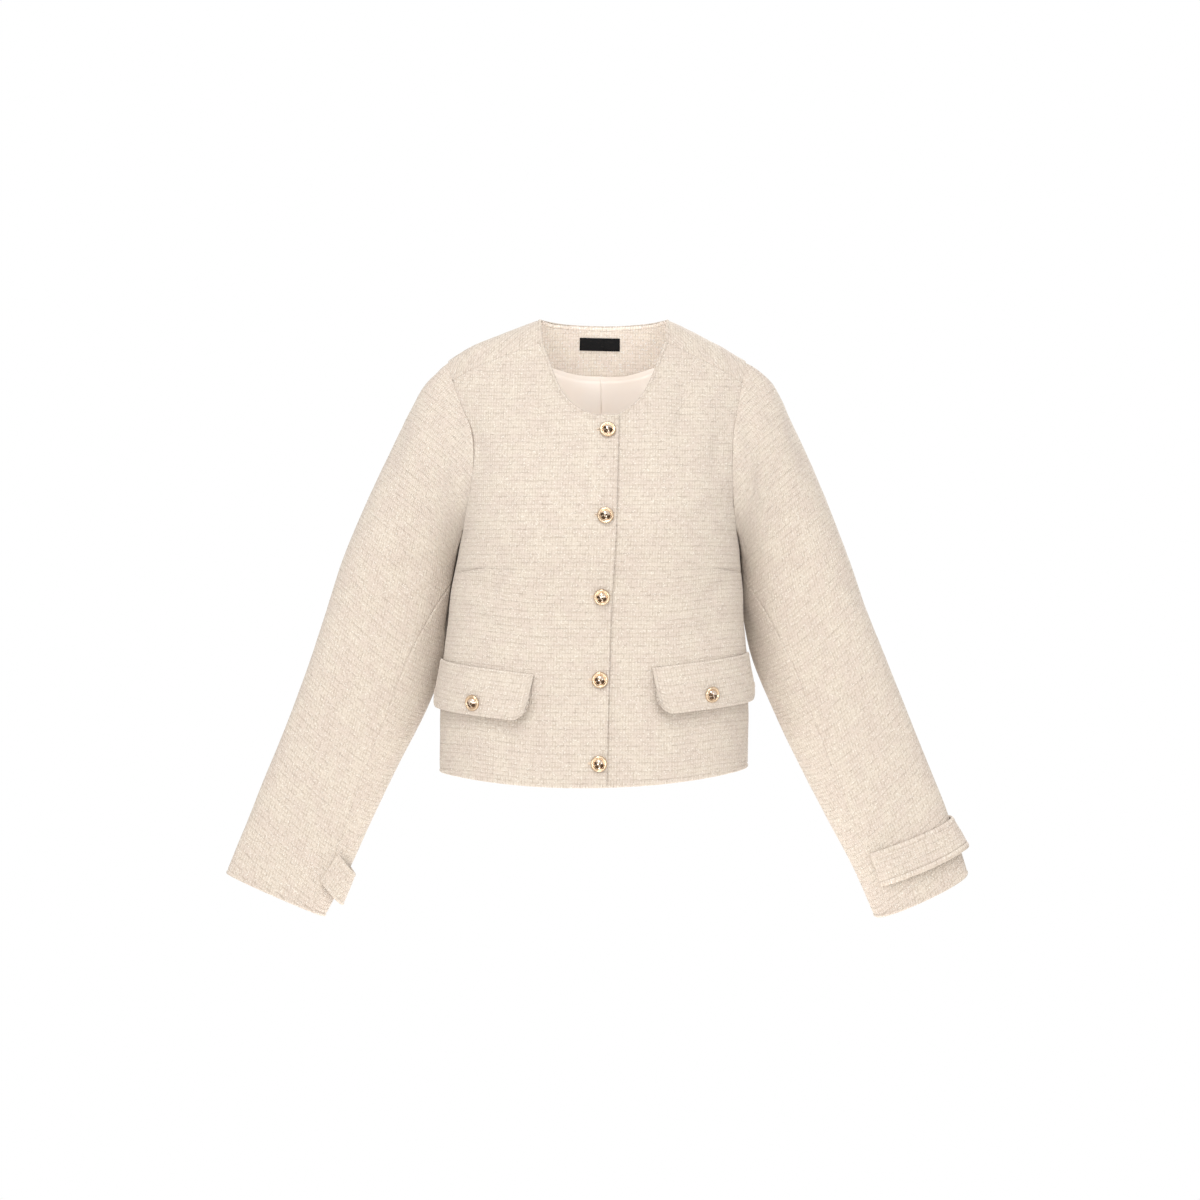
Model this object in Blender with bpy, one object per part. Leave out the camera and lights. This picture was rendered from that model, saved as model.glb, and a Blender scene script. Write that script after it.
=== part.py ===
"""A cropped tweed jacket with a round neck, filled out as if worn, built as the pieces a maker cuts and sews.

The frame is +Z up, +X to the wearer's left and -Y to the front. "Right" and "left" are the wearer's. The origin
lies in the neck opening, at the level of the back neck edge. All tables are in millimetres, and heights in them
are measured from the highest point of the neck edge. Each piece is a wall of cloth laid on one of two forms: the
body, which runs from the front hem over the shoulder to the back hem, and the sleeve, which runs from the armhole
to the cuff.
"""

from math import atan2, cos, pi, radians, sin, sqrt

import bmesh
import bpy
import numpy as np
from mathutils import Vector

# Sizes, in millimetres
MM = 0.001
NECK_TOP = 8.0  # the neck edge beside the shoulder, above the origin
WALL = 2.0  # tweed with its interlining
FLAP_WALL = 2.6  # two layers of tweed
STRAP_WALL = 3.0
LINING_WALL = 1.0
LABEL_WALL = 1.0
SEAM = 0.3  # space between two pieces where they are sewn
CLEAR = 0.8  # under a piece that lies on a curved panel
UNDERARM = -250.0  # height of the bottom of the armhole
RISE = 230.0  # length of the body's chart from the underarm level to the shoulder ridge
QUARTER = 225.0  # length round the body from its middle to the side seam
EDGE_SPACE = SEAM / 2 / QUARTER  # half a seam's space, on the body's chart
SHOULDER_DROP = 28.0  # the shoulder seam lies forward of the ridge, this far below it

# The body, level by level from the underarm down: height, half width, front depth, back depth
BODY_LEVELS = (
    (-535, 176.6, 116, 106),
    (-470, 177.0, 113, 102),
    (-430, 176.5, 111, 99),
    (-392, 174.5, 110, 97),
    (-344, 169.5, 112, 96),
    (-308, 167.0, 116, 97),
    (-285, 163.5, 120, 98),
    (-250, 159.0, 124, 100),
)
BODY_ROUNDNESS = 2.5  # 2 is an ellipse, more is squarer
BODY_MIDDLE = ((-535, -7.4), (-400, -5.8), (-330, -4.3), (-263, -1.0), (-130, 2.8), (20, 4.6))  # height, x
SHOULDER_WIDENING = (32.0, 1.2)  # how far the form grows past the underarm's half width, how late
RIDGE_PLACE = 6.0  # y of the shoulder ridge
RIDGE_SOFTNESS = (0.6, 10)  # extra roundness at the ridge, how near it
FRONT_SLOPE = (1.6, 1.12)  # how the front leans back towards the ridge: start, fullness
BACK_SLOPE = (3.0, 1.4)
# The shoulder ridge: distance from the middle, height on the right, height on the left
RIDGE = (
    (0, 20, 20),
    (72, 0, 0),
    (100, -10, -13),
    (120, -18, -23.5),
    (136, -24.2, -31.4),
    (150, -30, -40),
    (165, -38.7, -49),
    (180, -49, -58.7),
    (200, -66, -73),
)
HEM_FRONT = -534.0  # at the middle of the front
HEM_SIDE = -517.5
HEM_BACK = -521.0
HEM_TILT = (3.0, 140.0)  # the hem hangs lower at the right side and higher at the left; reach of the change

# The neck edge: height, distance from the middle
NECK_FRONT = ((-115, 0), (-112.5, 12), (-106, 25.5), (-96, 38.5), (-85, 46.5), (-70, 54), (-50, 61.5), (-30, 68))
NECK_BACK = ((-5, 0), (-4.2, 30), (-2.4, 55), (0, 72))
NECK_CORNER = -113.5  # height of a front edge's top corner
NECK_SEAM_END = 70.0  # where the shoulder seam meets the neck edge, from the middle
NECK_OVER = (71.0, -15.0)  # a place on the neck edge between the ridge and that seam: from the middle, height

# The armhole in front, above the underarm: height, distance from the middle on the right, on the left
ARMHOLE_FRONT = (
    (-246, 156.5, 156.5),
    (-228, 154.0, 153.5),
    (-183, 147.0, 149.5),
    (-161, 146.0, 149.0),
    (-128, 150.0, 150.0),
    (-105, 160.0, 154.0),
)
ARMHOLE_SEAM = (173.0, 159.5)  # where the shoulder seam meets it, right and left
ARMHOLE_TOP = (179.0, 164.0)  # where the ridge meets it
ARMHOLE_DEPTH = 47.0  # half the sleeve's depth where it is sewn in
# The armhole at the back: height, distance from the middle
ARMHOLE_BACK = ((-246, 157.5), (-228, 157.0), (-183, 158.5), (-140, 162.0), (-100, 166.5), (-72, 169.0))

OVERLAP_EDGE = (18.5, 14.0)  # the right front's edge past the middle, at the neck and at the hem
UNDERLAP_EDGE = 16.0  # the left front's edge past the middle, hidden under it
UNDERLAP_DROP = WALL + 1.3
UNDERLAP_ENDS = (0.10, 0.24)  # on the body's chart, where the left front comes up to its full height

# The sleeve, ring by ring. The share along it is 0 at the armhole, 1 at the upper arm and 2 at the cuff; the
# distances are from x = 0, right and left; the last columns are the y of both edges and half the sleeve's depth.
SLEEVE_RINGS = (
    (0.12, 186.3, 184.0, -58.7, 159.6, 159.2, -255.0, 6, 2, 49),
    (0.25, 200.0, 198.0, -72.5, 160.0, 159.8, -261.0, 6, 5, 52),
    (0.45, 216.0, 212.8, -100.0, 160.3, 160.3, -269.0, 6, 10, 54),
    (0.62, 230.0, 225.4, -127.7, 160.6, 160.8, -277.0, 7, 16, 55),
    (0.80, 246.0, 241.0, -162.0, 161.2, 161.2, -287.0, 8, 22, 55),
    (1.00, 270.3, 263.0, -214.0, 162.0, 162.0, -302.0, 9, 29, 53),
    (1.14, 295.5, 285.8, -273.7, 165.0, 164.5, -335.0, 10, 35, 50),
    (1.29, 316.3, 308.8, -338.0, 177.0, 176.0, -390.0, 10, 36, 45),
    (1.44, 338.0, 334.8, -403.6, 203.6, 203.0, -456.0, 10, 32, 40),
    (1.58, 360.0, 358.5, -463.5, 233.2, 230.6, -514.0, 8, 25, 34),
    (1.72, 384.0, 382.0, -522.0, 261.0, 260.4, -572.0, 4, 17, 28),
    (1.87, 408.2, 405.6, -583.0, 288.6, 292.5, -633.0, -2, 8, 21),
    (2.00, 429.0, 422.2, -636.8, 316.8, 316.0, -687.2, -8, 2, 15),
)
CUFF_TILT = (1.0, 7.0)  # how far the cuff's front hangs past its edges, right and left
CUFF_TILT_START = 1.5  # share along the sleeve
CUFF_DOWN = (0.4, 0, -0.92)  # direction of the sleeve's lower part
SLEEVE_ROUNDNESS = 2.2
CLEAR_BELOW = -215.0  # the sleeve is kept off the body's side below this height
SLEEVE_RADIUS = 50.0  # roughly
SLEEVE_FOLD_SCALE = (0.8, 330.0)  # millimetres to a degree of turn and to a share along
SLEEVE_CLEARANCE = (0.3, 1.6)  # between the sleeve and the body's side: at the armhole, further down
SLEEVE_JOINS = 0.5  # share along at which the armhole's hold on the sleeve has faded
SLEEVE_LEAVES = 0.16  # share along at which the cloth no longer faces as the body does
UNDER_TURNS = (radians(95), radians(145))  # turns between which that hold ends, under the arm
# The turn of the sleeve's seams from its outer edge: share along the sleeve, degrees. The armhole's is a stop.
SLEEVE_SEAM_TURN = (
    (0.5, 158),
    (1.0, 152),
    (1.14, 132),
    (1.3, 117),
    (1.5, 118),
    (1.7, 125),
    (1.88, 132),
    (2.0, 135),
)
SLEEVE_RING_SHARES = (0, 0.1, 0.22, 0.36, 0.52, 0.68, 0.84, 1, 1.1, 1.2, 1.3, 1.4, 1.5, 1.6, 1.7, 1.8, 1.9, 2)

FOLD_ENDS = 0.45  # a fold's depth at both ends, as a share of its depth
# The largest folds, soft troughs: from (distance from the middle, height) to the same, width, depth. The right
# side's distances are minus.
FRONT_FOLDS = (
    (-66, -62, -74, -190, 14, 2.6),
    (-122, -276, -140, -330, 13, 2.2),
    (96, -80, 90, -150, 14, 2.4),
    (118, -300, 138, -372, 15, 2.0),
    (-60, -300, -96, -392, 20, 1.6),
)
BACK_FOLDS = (
    (-112, -96, -104, -236, 15, 2.6),
    (108, -104, 98, -222, 16, 2.2),
    (-58, -300, -72, -440, 20, 2.0),
    (66, -276, 58, -402, 18, 2.4),
)
# On a sleeve: from (degrees round from the outer edge, share along) to the same, width, depth. The front is plus.
SLEEVE_FOLDS = (
    (58, 0.10, 92, 0.96, 13, 3.0),
    (98, 1.05, 60, 1.34, 14, 2.6),
    (86, 1.42, 40, 1.62, 13, 1.8),
    (-62, 0.16, -96, 0.98, 14, 2.8),
    (-104, 1.08, -58, 1.40, 14, 2.4),
    (-80, 1.50, -44, 1.74, 12, 1.6),
)

FLAP_START = (68.0, 64.0)  # inner end at the top, from the middle: right, left
FLAP_LENGTH = 146.0
FLAP_TOP = {-1: (-406.0, -387.5), 1: (-400.0, -385.0)}  # height at the inner end and at the side end
FLAP_DEEP = 53.5
FLAP_SLANT = 10.0  # how far both ends lean to the side going down
FLAP_CORNER = 16.0
FLAP_LIFT = (4.0, 1.4)  # the free edge stands this far off, how late going down
FLAP_CORNER_STEPS = (0, 0.08, 0.25, 0.5, 0.8)  # columns in a corner, as shares of its size
FLAP_COLUMNS = 7  # between the corners
FLAP_ROWS = (0.0, 0.25, 0.5, 0.75, 0.92, 1.0)

STRAP_WIDE = 37.0
STRAP_SPAN = {-1: (133, 227), 1: (133, -133)}  # turns where the strap leaves one seam and ends at the other
STRAP_PLACE = {-1: (1.880, 1.915), 1: (1.880, 1.889)}  # share along the sleeve, at its ends and at its middle
STRAP_STANDS_OFF = {-1: 8.5, 1: 3.0}  # at the middle of its span
STRAP_SHARE_PER_MM = 0.0022
STRAP_ENDS = (0.02, 0.98)  # shares of its span
STRAP_COLUMNS = {-1: 12, 1: 22}
STRAP_ROWS = 3

FACING_WALL = 1.2
FACING_DROP = WALL + 1.6
# The facing's lower edge, from the middle of the back to the shoulder ridge: distance from the middle, height
FACING_EDGE = ((0, -61), (30, -59), (56, -52), (85, -43), (104, -34), (116, -20))
FACING_END = 0.9  # it ends at this share of the way to the shoulder ridge
FACING_COLUMNS = 9  # on each side
FACING_ROWS = (1.0, 0.66, 0.33, 0.02)  # shares of the way down from the neck edge, from the lower edge up
LINING_DROP = WALL + 2.0  # the lining hangs this far inside the cloth's outer face
LINING_HEM = 22.0  # the lining ends this far above the hem
LINING_COLUMNS = 7
LINING_ROWS = (5, 4, 4)  # up to the underarm level, up to the facing, beside the facing
LINING_START = 0.1  # its side begins at this share of the back armhole
LINING_SPACE = (0.0, 1.5)  # off the facing and the armhole, on the body's chart
LINING_TOP = (0.72, 0.84)  # it ends at these shares of the facing's edge and of the back armhole
LABEL_SIZE = (48.0, 14.5)
LABEL_PLACE = (-4.5, -23.5)  # its middle: distance from the middle of the back, height
LABEL_COLUMNS = 5

BUTTON_HEIGHTS = (-131.5, -228.5, -320.0, -413.0, -507.0)
BUTTON_PLACE = 5.9  # from the middle, to the left
BUTTON_RADIUS = 9.2
BUTTON_STEPS = 16
FLAP_BUTTON_PLACE = {-1: (0.425, 0.74), 1: (0.42, 0.70)}  # share along the flap, share down it
# A button's outline from its crown out and down: radius and height over the cloth, as shares of its radius
BUTTON_OUTLINE = (
    (0, 0.56),
    (0.3, 0.52),
    (0.5, 0.38),
    (0.58, 0.24),
    (0.72, 0.34),
    (0.9, 0.3),
    (1, 0.16),
    (0.88, 0),
    (0, 0),
)

PANEL_COLUMNS = 14  # across a front, or half the back
UNDERARM_COLUMNS = 3  # the last of these end under the armhole
ROWS_BELOW = 10  # from the hem to the underarm level
ROWS_TO_NECK = 6  # from there to the neck's lowest point
ROWS_BESIDE_NECK = 8  # along the neck edge to the shoulder seam
ARMHOLE_ROWS = ROWS_TO_NECK + ROWS_BESIDE_NECK
RIDGE_ROWS = 2  # from the ridge forward to the shoulder seam
SLEEVE_SEAM_STOP = 2  # the sleeve's seams begin this many columns from the side seam
RING_PLACES = 60  # for lengths round the body
SHARP_ANGLE = 50  # degrees, where two faces meet in a sharp edge


def smooth(rows):
    """Give a smooth function of a table: the first column in, the other columns out."""
    table = np.array(sorted(rows), float)
    places, values = table[:, 0], table[:, 1:]
    slopes = np.gradient(values, places, axis=0)

    def read(place):
        place = min(max(place, places[0]), places[-1])
        i = min(int(np.searchsorted(places, place, side="right")) - 1, len(places) - 2)
        span = places[i + 1] - places[i]
        t = (place - places[i]) / span
        start = (1 + 2 * t) * (1 - t) ** 2 * values[i] + t * (1 - t) ** 2 * span * slopes[i]
        end = t * t * (3 - 2 * t) * values[i + 1] - t * t * (1 - t) * span * slopes[i + 1]
        return start + end

    return read


def path(points):
    """A smooth curve through chart points as a function of 0 to 1, and the share of its length at each point."""
    points = np.array(points, float)
    steps = np.hypot(*(np.diff(points, axis=0) * (QUARTER, 1.0)).T)
    shares = np.concatenate(([0.0], np.cumsum(steps))) / steps.sum()
    return smooth([(share, *point) for share, point in zip(shares, points)]), shares


def ease(start, end, value):
    """Go softly from 0 at start to 1 at end."""
    t = min(max((value - start) / (end - start), 0.0), 1.0)
    return t * t * (3 - 2 * t)


def section(turn, roundness):
    """Unit closed section: across and along shares at an angle."""
    size = (abs(sin(turn)) ** roundness + abs(cos(turn)) ** roundness) ** (-1 / roundness)
    return size * sin(turn), size * cos(turn)


def trough(folds, place, scale):
    """Depth at a place of soft troughs that fade out towards both ends."""
    depth = 0.0
    for x0, y0, x1, y1, width, deep in folds:
        start = np.array((x0, y0), float) * scale
        line = np.array((x1, y1), float) * scale - start
        away = np.array(place, float) * scale - start
        share = float(np.dot(away, line) / np.dot(line, line))
        off = away - line * min(max(share, 0.0), 1.0)
        strength = FOLD_ENDS + (1 - FOLD_ENDS) * sin(pi * min(max(share, 0), 1))
        depth += deep * float(np.exp(-np.dot(off, off) / width**2)) * strength
    return depth


body_level = smooth(BODY_LEVELS)
body_middle = smooth(BODY_MIDDLE)
ridge_heights = smooth(RIDGE)


def ridge_height(side, distance):
    return ridge_heights(distance)[0 if side < 0 else 1]


def body_form(climb, behind):
    """Half width, depth and middle y of the body at a climb from the underarm level."""
    half, front, back = body_level(UNDERARM + min(climb, 0.0))
    deep = back if behind else -front
    if climb <= 0:
        return half, deep, 0.0
    share = climb / RISE
    start, fullness = BACK_SLOPE if behind else FRONT_SLOPE
    softness, nearness = RIDGE_SOFTNESS
    lean = max(1 - share**start, 0.0) ** (1 / (fullness + softness * share**nearness))
    widening, lateness = SHOULDER_WIDENING
    return half + widening * share**lateness, deep * lean, RIDGE_PLACE * (1 - lean)


def body(p, q):
    """A point of the body's outside. p is -1 at the right side seam, 0 in the middle and 1 at the left side seam.
    q climbs from the front hem, is 0 at the underarm level and RISE at the ridge, and goes on down the back."""
    behind = q > RISE
    climb = 2 * RISE - q if behind else q
    half, deep, middle = body_form(climb, behind)
    across, along = section(p * pi / 2, BODY_ROUNDNESS)
    x, y, z = half * across, middle + deep * along, UNDERARM + climb
    if climb > 0:
        z = UNDERARM + (ridge_height(np.sign(x), abs(x)) - UNDERARM) * climb / RISE
    y += trough(BACK_FOLDS, (x, z), 1.0) * -1 if behind else trough(FRONT_FOLDS, (x, z), 1.0)
    tilt, reach = HEM_TILT
    z += tilt * p * ease(0.0, reach, -climb)
    return np.array((x + body_middle(z)[0], y, z))


def chart_of(side, distance, height, behind=False):
    """Chart place of a point from its distance from the middle and its height."""
    climb = height - UNDERARM
    if climb > 0:
        climb *= RISE / (ridge_height(side, distance) - UNDERARM)
    across = min(distance / body_form(climb, behind)[0], 1.0)
    along = (1 - across**BODY_ROUNDNESS) ** (1 / BODY_ROUNDNESS)
    return side * atan2(across, along) / (pi / 2), 2 * RISE - climb if behind else climb


def hem_drop(p, middle):
    """Chart length from the underarm level down to the hem."""
    across = section(p * pi / 2, BODY_ROUNDNESS)[0]
    return UNDERARM - middle - (HEM_SIDE - middle) * across * across


def normal_of(form, u, v, step=(0.002, 0.4)):
    across = form(u + step[0], v) - form(u - step[0], v)
    up = form(u, v + step[1]) - form(u, v - step[1])
    normal = np.cross(across, up)
    return normal / np.linalg.norm(normal)


def body_normal(p, q):
    return normal_of(body, p, q)


# The armhole's curves on the body's chart, from the underarm up to the ridge


def armhole(side):
    """Front and back curves of an armhole, each with the share of it at which it turns up from under the arm, and
    the share of the front one at the shoulder seam."""
    column = 0 if side < 0 else 1
    front = [(side * 1.0, 0.0), (side * 0.93, 1.0)]
    front += [chart_of(side, distances[column], height) for height, *distances in ARMHOLE_FRONT]
    seam, top = ARMHOLE_SEAM[column], ARMHOLE_TOP[column]
    front.append(chart_of(side, seam, ridge_height(side, seam) - SHOULDER_DROP))
    front.append(chart_of(side, top, ridge_height(side, top)))
    back = [(side * 1.0, 2 * RISE), (side * 0.94, 2 * RISE - 1.0)]
    back += [chart_of(side, distance, height, behind=True) for height, distance in ARMHOLE_BACK]
    back.append(front[-1])
    front_curve, front_shares = path(front)
    back_curve, back_shares = path(back)
    return front_curve, front_shares[2], back_curve, back_shares[2], front_shares[-2]


ARMHOLES = {-1: armhole(-1), 1: armhole(1)}


def armhole_chart(side, turn):
    """Place on the body's chart where a sleeve is sewn in, at a turn round the sleeve. The front is plus."""
    front, _, back, _, _ = ARMHOLES[side]
    return front(1 - turn / pi) if turn >= 0 else back(1 + turn / pi)


def armhole_shares(side, behind):
    """Shares of an armhole's curve where a panel's columns and rows end, from the side seam up."""
    _, front_turn, _, back_turn, seam = ARMHOLES[side]
    turn, end = (back_turn, 1.0) if behind else (front_turn, seam)
    under = np.linspace(0, turn, UNDERARM_COLUMNS + 1)
    return np.concatenate((under, np.linspace(turn, end, ARMHOLE_ROWS + 1)[1:]))


def armhole_stops(side):
    """Turns at which the sleeve meets the columns and rows of the body's panels, from the underarm up the front and
    down the back."""
    front = [pi * (1 - share) for share in armhole_shares(side, behind=False)]
    over = [pi * (1 - share) for share in np.linspace(ARMHOLES[side][-1], 1, RIDGE_ROWS + 1)[1:]]
    back = [-pi * (1 - share) for share in armhole_shares(side, behind=True)[::-1][1:]]
    return front + over + back


# The sleeve's form


def sleeve_rings(side):
    """Outer edge, inner edge and half depth of a sleeve's ring, as a function of the share along it."""
    column = 0 if side < 0 else 1
    top, bottom = body(*armhole_chart(side, 0.0)), body(side, 0.0)
    rows = [(0.0, side * top[0], top[1], top[2], side * bottom[0], bottom[1], bottom[2], ARMHOLE_DEPTH)]
    for share, *row in SLEEVE_RINGS:
        outer, inner = row[column], row[3 + column]
        rows.append((share, outer, row[6], row[2], inner, row[7], row[5], row[8]))
    return smooth(rows)


SLEEVES = {-1: sleeve_rings(-1), 1: sleeve_rings(1)}
sleeve_seam_turn = smooth(SLEEVE_SEAM_TURN)


def plain_ring(side, turn, share):
    row = SLEEVES[side](share)
    outer, inner, depth = row[0:3], row[3:6], row[6]
    forward, out = section(turn, SLEEVE_ROUNDNESS)
    point = (outer + inner) / 2 + (outer - inner) / 2 * out - np.array((0, depth * forward, 0))
    down = np.array(CUFF_DOWN) * CUFF_TILT[0 if side < 0 else 1] * forward
    return (point + down * ease(CUFF_TILT_START, 2.0, share)) * (side, 1, 1)


def keep_clear(side, point, clearance):
    """Push a point out of the body's side, which a sleeve lies against."""
    x, y, z = point
    if z > CLEAR_BELOW:
        return point
    middle_x = body_middle(z)[0]
    climb = chart_of(side, 100.0, z)[1]
    half, deep, middle_y = body_form(climb, y > 0)
    half, deep = half + clearance, abs(deep) + clearance
    off = np.array((x - middle_x, y - middle_y))
    reach = float(np.sum(abs(off / (half, deep)) ** BODY_ROUNDNESS))
    if reach >= 1:
        return point
    off = off * reach ** (-1 / BODY_ROUNDNESS)
    return np.array((middle_x + off[0], middle_y + off[1], z))


def within_half_turn(turn):
    return (turn + pi) % (2 * pi) - pi


def sleeve(side, turn, share):
    """A point of a sleeve's outside: turn is 0 at the outer edge, plus to the front, and half a circle inside."""
    turn = within_half_turn(turn)
    point = plain_ring(side, turn, share)
    if share < 1:
        sewn = body(*armhole_chart(side, turn)) - plain_ring(side, turn, 0.0)
        point = point + sewn * (1 - share) ** 2
    fold = trough(SLEEVE_FOLDS, (turn * 180 / pi, share), SLEEVE_FOLD_SCALE)
    point = point + np.array((0, fold * np.sign(turn), 0))
    near, far = SLEEVE_CLEARANCE
    clearance = (near + (far - near) * ease(0.0, SLEEVE_JOINS, share)) * ease(-0.01, 0.03, share)
    return keep_clear(side, point, clearance)


def sleeve_normal(side, turn, share):
    """The sleeve's outward direction. At the armhole it is the body's, so that both edges lie side by side."""
    own = normal_of(lambda u, v: sleeve(side, u, v), turn, max(share, 0.02), (0.01, 0.005)) * side
    sewn = body_normal(*armhole_chart(side, within_half_turn(turn)))
    mix = (1 - ease(0.0, SLEEVE_LEAVES, share)) * (1 - ease(*UNDER_TURNS, abs(within_half_turn(turn))))
    normal = own * (1 - mix) + sewn * mix
    return normal / np.linalg.norm(normal)


# Placing cloth: each function gives a chart place's outer point and outward direction


def on_body(lift=None):
    """On the body, raised by lift, which is a function of the chart."""

    def place(p, q):
        normal = body_normal(p, q)
        return body(p, q) + normal * (lift(p, q) if lift else 0.0), normal

    return place


def on_sleeve(side):
    """On a sleeve, with a seam's space at the armhole."""

    def place(turn, share):
        space = np.array((side, 0, 0)) * SEAM * (1 - ease(0.0, 0.1, share))
        return sleeve(side, turn, share) + space, sleeve_normal(side, turn, share)

    return place


# Making pieces


def finish(name, colour, roughness, metallic=0.0):
    material = bpy.data.materials.new(name)
    material.use_nodes = True
    shader = material.node_tree.nodes["Principled BSDF"]
    shader.inputs["Base Color"].default_value = (*colour, 1.0)
    shader.inputs["Roughness"].default_value = roughness
    shader.inputs["Metallic"].default_value = metallic
    return material


def cloth(name, material, charts, place, wall=WALL, slit=None):
    """Make one closed wall of cloth. charts are grids of chart places, [row][column], set side by side. There is no
    cloth where a place is None. A slit opens the join of two charts from that row up."""
    join = len(charts[0][0]) - 1
    columns = sum(len(chart[0]) - 1 for chart in charts)
    rows = len(charts[0]) - 1
    mesh = bmesh.new()
    bmesh.ops.create_grid(mesh, x_segments=columns, y_segments=rows, size=1.0)

    def spot(vert):
        return round((vert.co.x + 1) / 2 * columns), round((vert.co.y + 1) / 2 * rows)

    def chart_place(vert, second):
        column, row = spot(vert)
        return charts[1][row][column - join] if second else charts[0][row][column]

    past_join = [face for face in mesh.faces if face.calc_center_median().x > 2 * join / columns - 1]
    empty = [face for face in mesh.faces if any(chart_place(v, face in past_join) is None for v in face.verts)]
    bmesh.ops.delete(mesh, geom=empty, context="FACES")
    if slit is not None:
        cut = [edge for edge in mesh.edges if all(spot(v)[0] == join and spot(v)[1] >= slit for v in edge.verts)]
        bmesh.ops.split_edges(mesh, edges=cut)
    copied = bmesh.ops.extrude_face_region(mesh, geom=mesh.faces[:], use_keep_orig=True)["geom"]
    inside = {part for part in copied if isinstance(part, bmesh.types.BMVert)}
    past_join = [face for face in mesh.faces if face.calc_center_median().x > 2 * join / columns - 1]
    in_second = {vert for face in past_join for vert in face.verts}
    moves = []
    for vert in mesh.verts:
        point, normal = place(*chart_place(vert, vert in in_second))
        moves.append((vert, point - normal * wall if vert in inside else point))
    for vert, point in moves:
        vert.co = (point + (0, 0, NECK_TOP)) * MM
    bmesh.ops.recalc_face_normals(mesh, faces=mesh.faces[:])
    data = bpy.data.meshes.new(name)
    mesh.to_mesh(data)
    mesh.free()
    data.shade_smooth()
    data.set_sharp_from_angle(angle=radians(SHARP_ANGLE))
    return add_piece(name, material, data)


def add_piece(name, material, data):
    data.materials.append(material)
    made = bpy.data.objects.new(name, data)
    bpy.data.collections[COLLECTION].objects.link(made)
    return made


def along(curve, shares):
    return [curve(share) for share in shares]


def rows_between(inner, outer, columns):
    """Chart rows, each straight from its inner place to its outer place."""
    shares = np.linspace(0, 1, columns + 1)
    return [[tuple(a + (b - a) * share) for share in shares] for a, b in zip(np.array(inner), np.array(outer))]


def below_rows(count, top_row, hem, behind):
    """Chart rows from the hem up to just under a panel's row at the underarm level. hem is its height in the
    middle."""
    rows = []
    for share in np.linspace(1, 0, count + 1)[:-1]:
        climbs = [-hem_drop(p, hem) * share for p, _ in top_row]
        rows.append([(p, 2 * RISE - climb if behind else climb) for (p, _), climb in zip(top_row, climbs)])
    return rows


def panel_rows(side, inner, behind):
    """Chart rows of a panel from the underarm level up, from its inner places to the armhole. Its last columns end
    under the arm."""
    front, _, back, _, _ = ARMHOLES[side]
    outer = along(back if behind else front, armhole_shares(side, behind))
    outer = [(p - side * EDGE_SPACE, q) for p, q in outer]
    under, beside = outer[:UNDERARM_COLUMNS], outer[UNDERARM_COLUMNS:]
    rows = rows_between(inner, beside, PANEL_COLUMNS - UNDERARM_COLUMNS)
    return [rows[0] + under[::-1]] + [row + [None] * UNDERARM_COLUMNS for row in rows[1:]]


def seam_place(side, distance):
    """Chart place on the shoulder seam."""
    return chart_of(side, distance, ridge_height(side, distance) - SHOULDER_DROP)


# The pieces


def back_neck(side):
    """Chart places of the neck edge from the middle of the back to the ridge."""
    neck = [(0.0, chart_of(side, 0.0, NECK_BACK[0][0], behind=True)[1])]
    return neck + [chart_of(side, distance, height, behind=True) for height, distance in NECK_BACK[1:]]


def front_chart(side, edge):
    """Chart of a front, from its front edge to the side seam and armhole. edge gives how far its front edge reaches
    past the middle, at a share of the way down from the underarm level."""
    reach = edge(0.0)
    corner = chart_of(-side, reach, NECK_CORNER)
    start = chart_of(-side, reach, UNDERARM)
    neck = [corner] + [chart_of(side, distance, height) for height, distance in NECK_FRONT[1:-1]]
    neck.append(seam_place(side, NECK_SEAM_END))
    inner = along(path([start, corner])[0], np.linspace(0, 1, ROWS_TO_NECK + 1))
    inner += along(path(neck)[0], np.linspace(0, 1, ROWS_BESIDE_NECK + 1)[1:])
    above = panel_rows(side, inner, behind=False)
    above[-1] = [place and (place[0], place[1] - SEAM / 2) for place in above[-1]]
    below = below_rows(ROWS_BELOW, above[0], HEM_FRONT, behind=False)
    for number, row in enumerate(below):
        share = 1 - number / ROWS_BELOW
        height = UNDERARM + share * (HEM_FRONT - UNDERARM)
        shift = chart_of(-side, edge(share), height)[0] - row[0][0]
        row[:] = [(p + shift * (1 - abs(p)) ** 2, q) for p, q in row]
    return below + above


def back_chart(side):
    """Chart of one half of the back, from its middle to the side seam and armhole, and over the shoulder."""
    neck = back_neck(side)
    over = [neck[-1], chart_of(side, *NECK_OVER), seam_place(side, NECK_SEAM_END)]
    inner = along(path([(0.0, 2 * RISE), neck[0]])[0], np.linspace(0, 1, ROWS_TO_NECK + 1))
    inner += along(path(neck)[0], np.linspace(0, 1, ROWS_BESIDE_NECK + 1)[1:])
    rows = panel_rows(side, inner, behind=True)
    forward = along(path(over)[0], np.linspace(0, 1, RIDGE_ROWS + 1)[1:])
    outer = along(ARMHOLES[side][0], np.linspace(1, ARMHOLES[side][-1], RIDGE_ROWS + 1)[1:])
    outer = [(p - side * EDGE_SPACE, q) for p, q in outer]
    over_rows = rows_between(forward, outer, PANEL_COLUMNS - UNDERARM_COLUMNS)
    over_rows[-1] = [(p, q + SEAM / 2) for p, q in over_rows[-1]]
    rows += [row + [None] * UNDERARM_COLUMNS for row in over_rows]
    return below_rows(ROWS_BELOW, rows[0], HEM_BACK, behind=True) + rows


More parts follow.
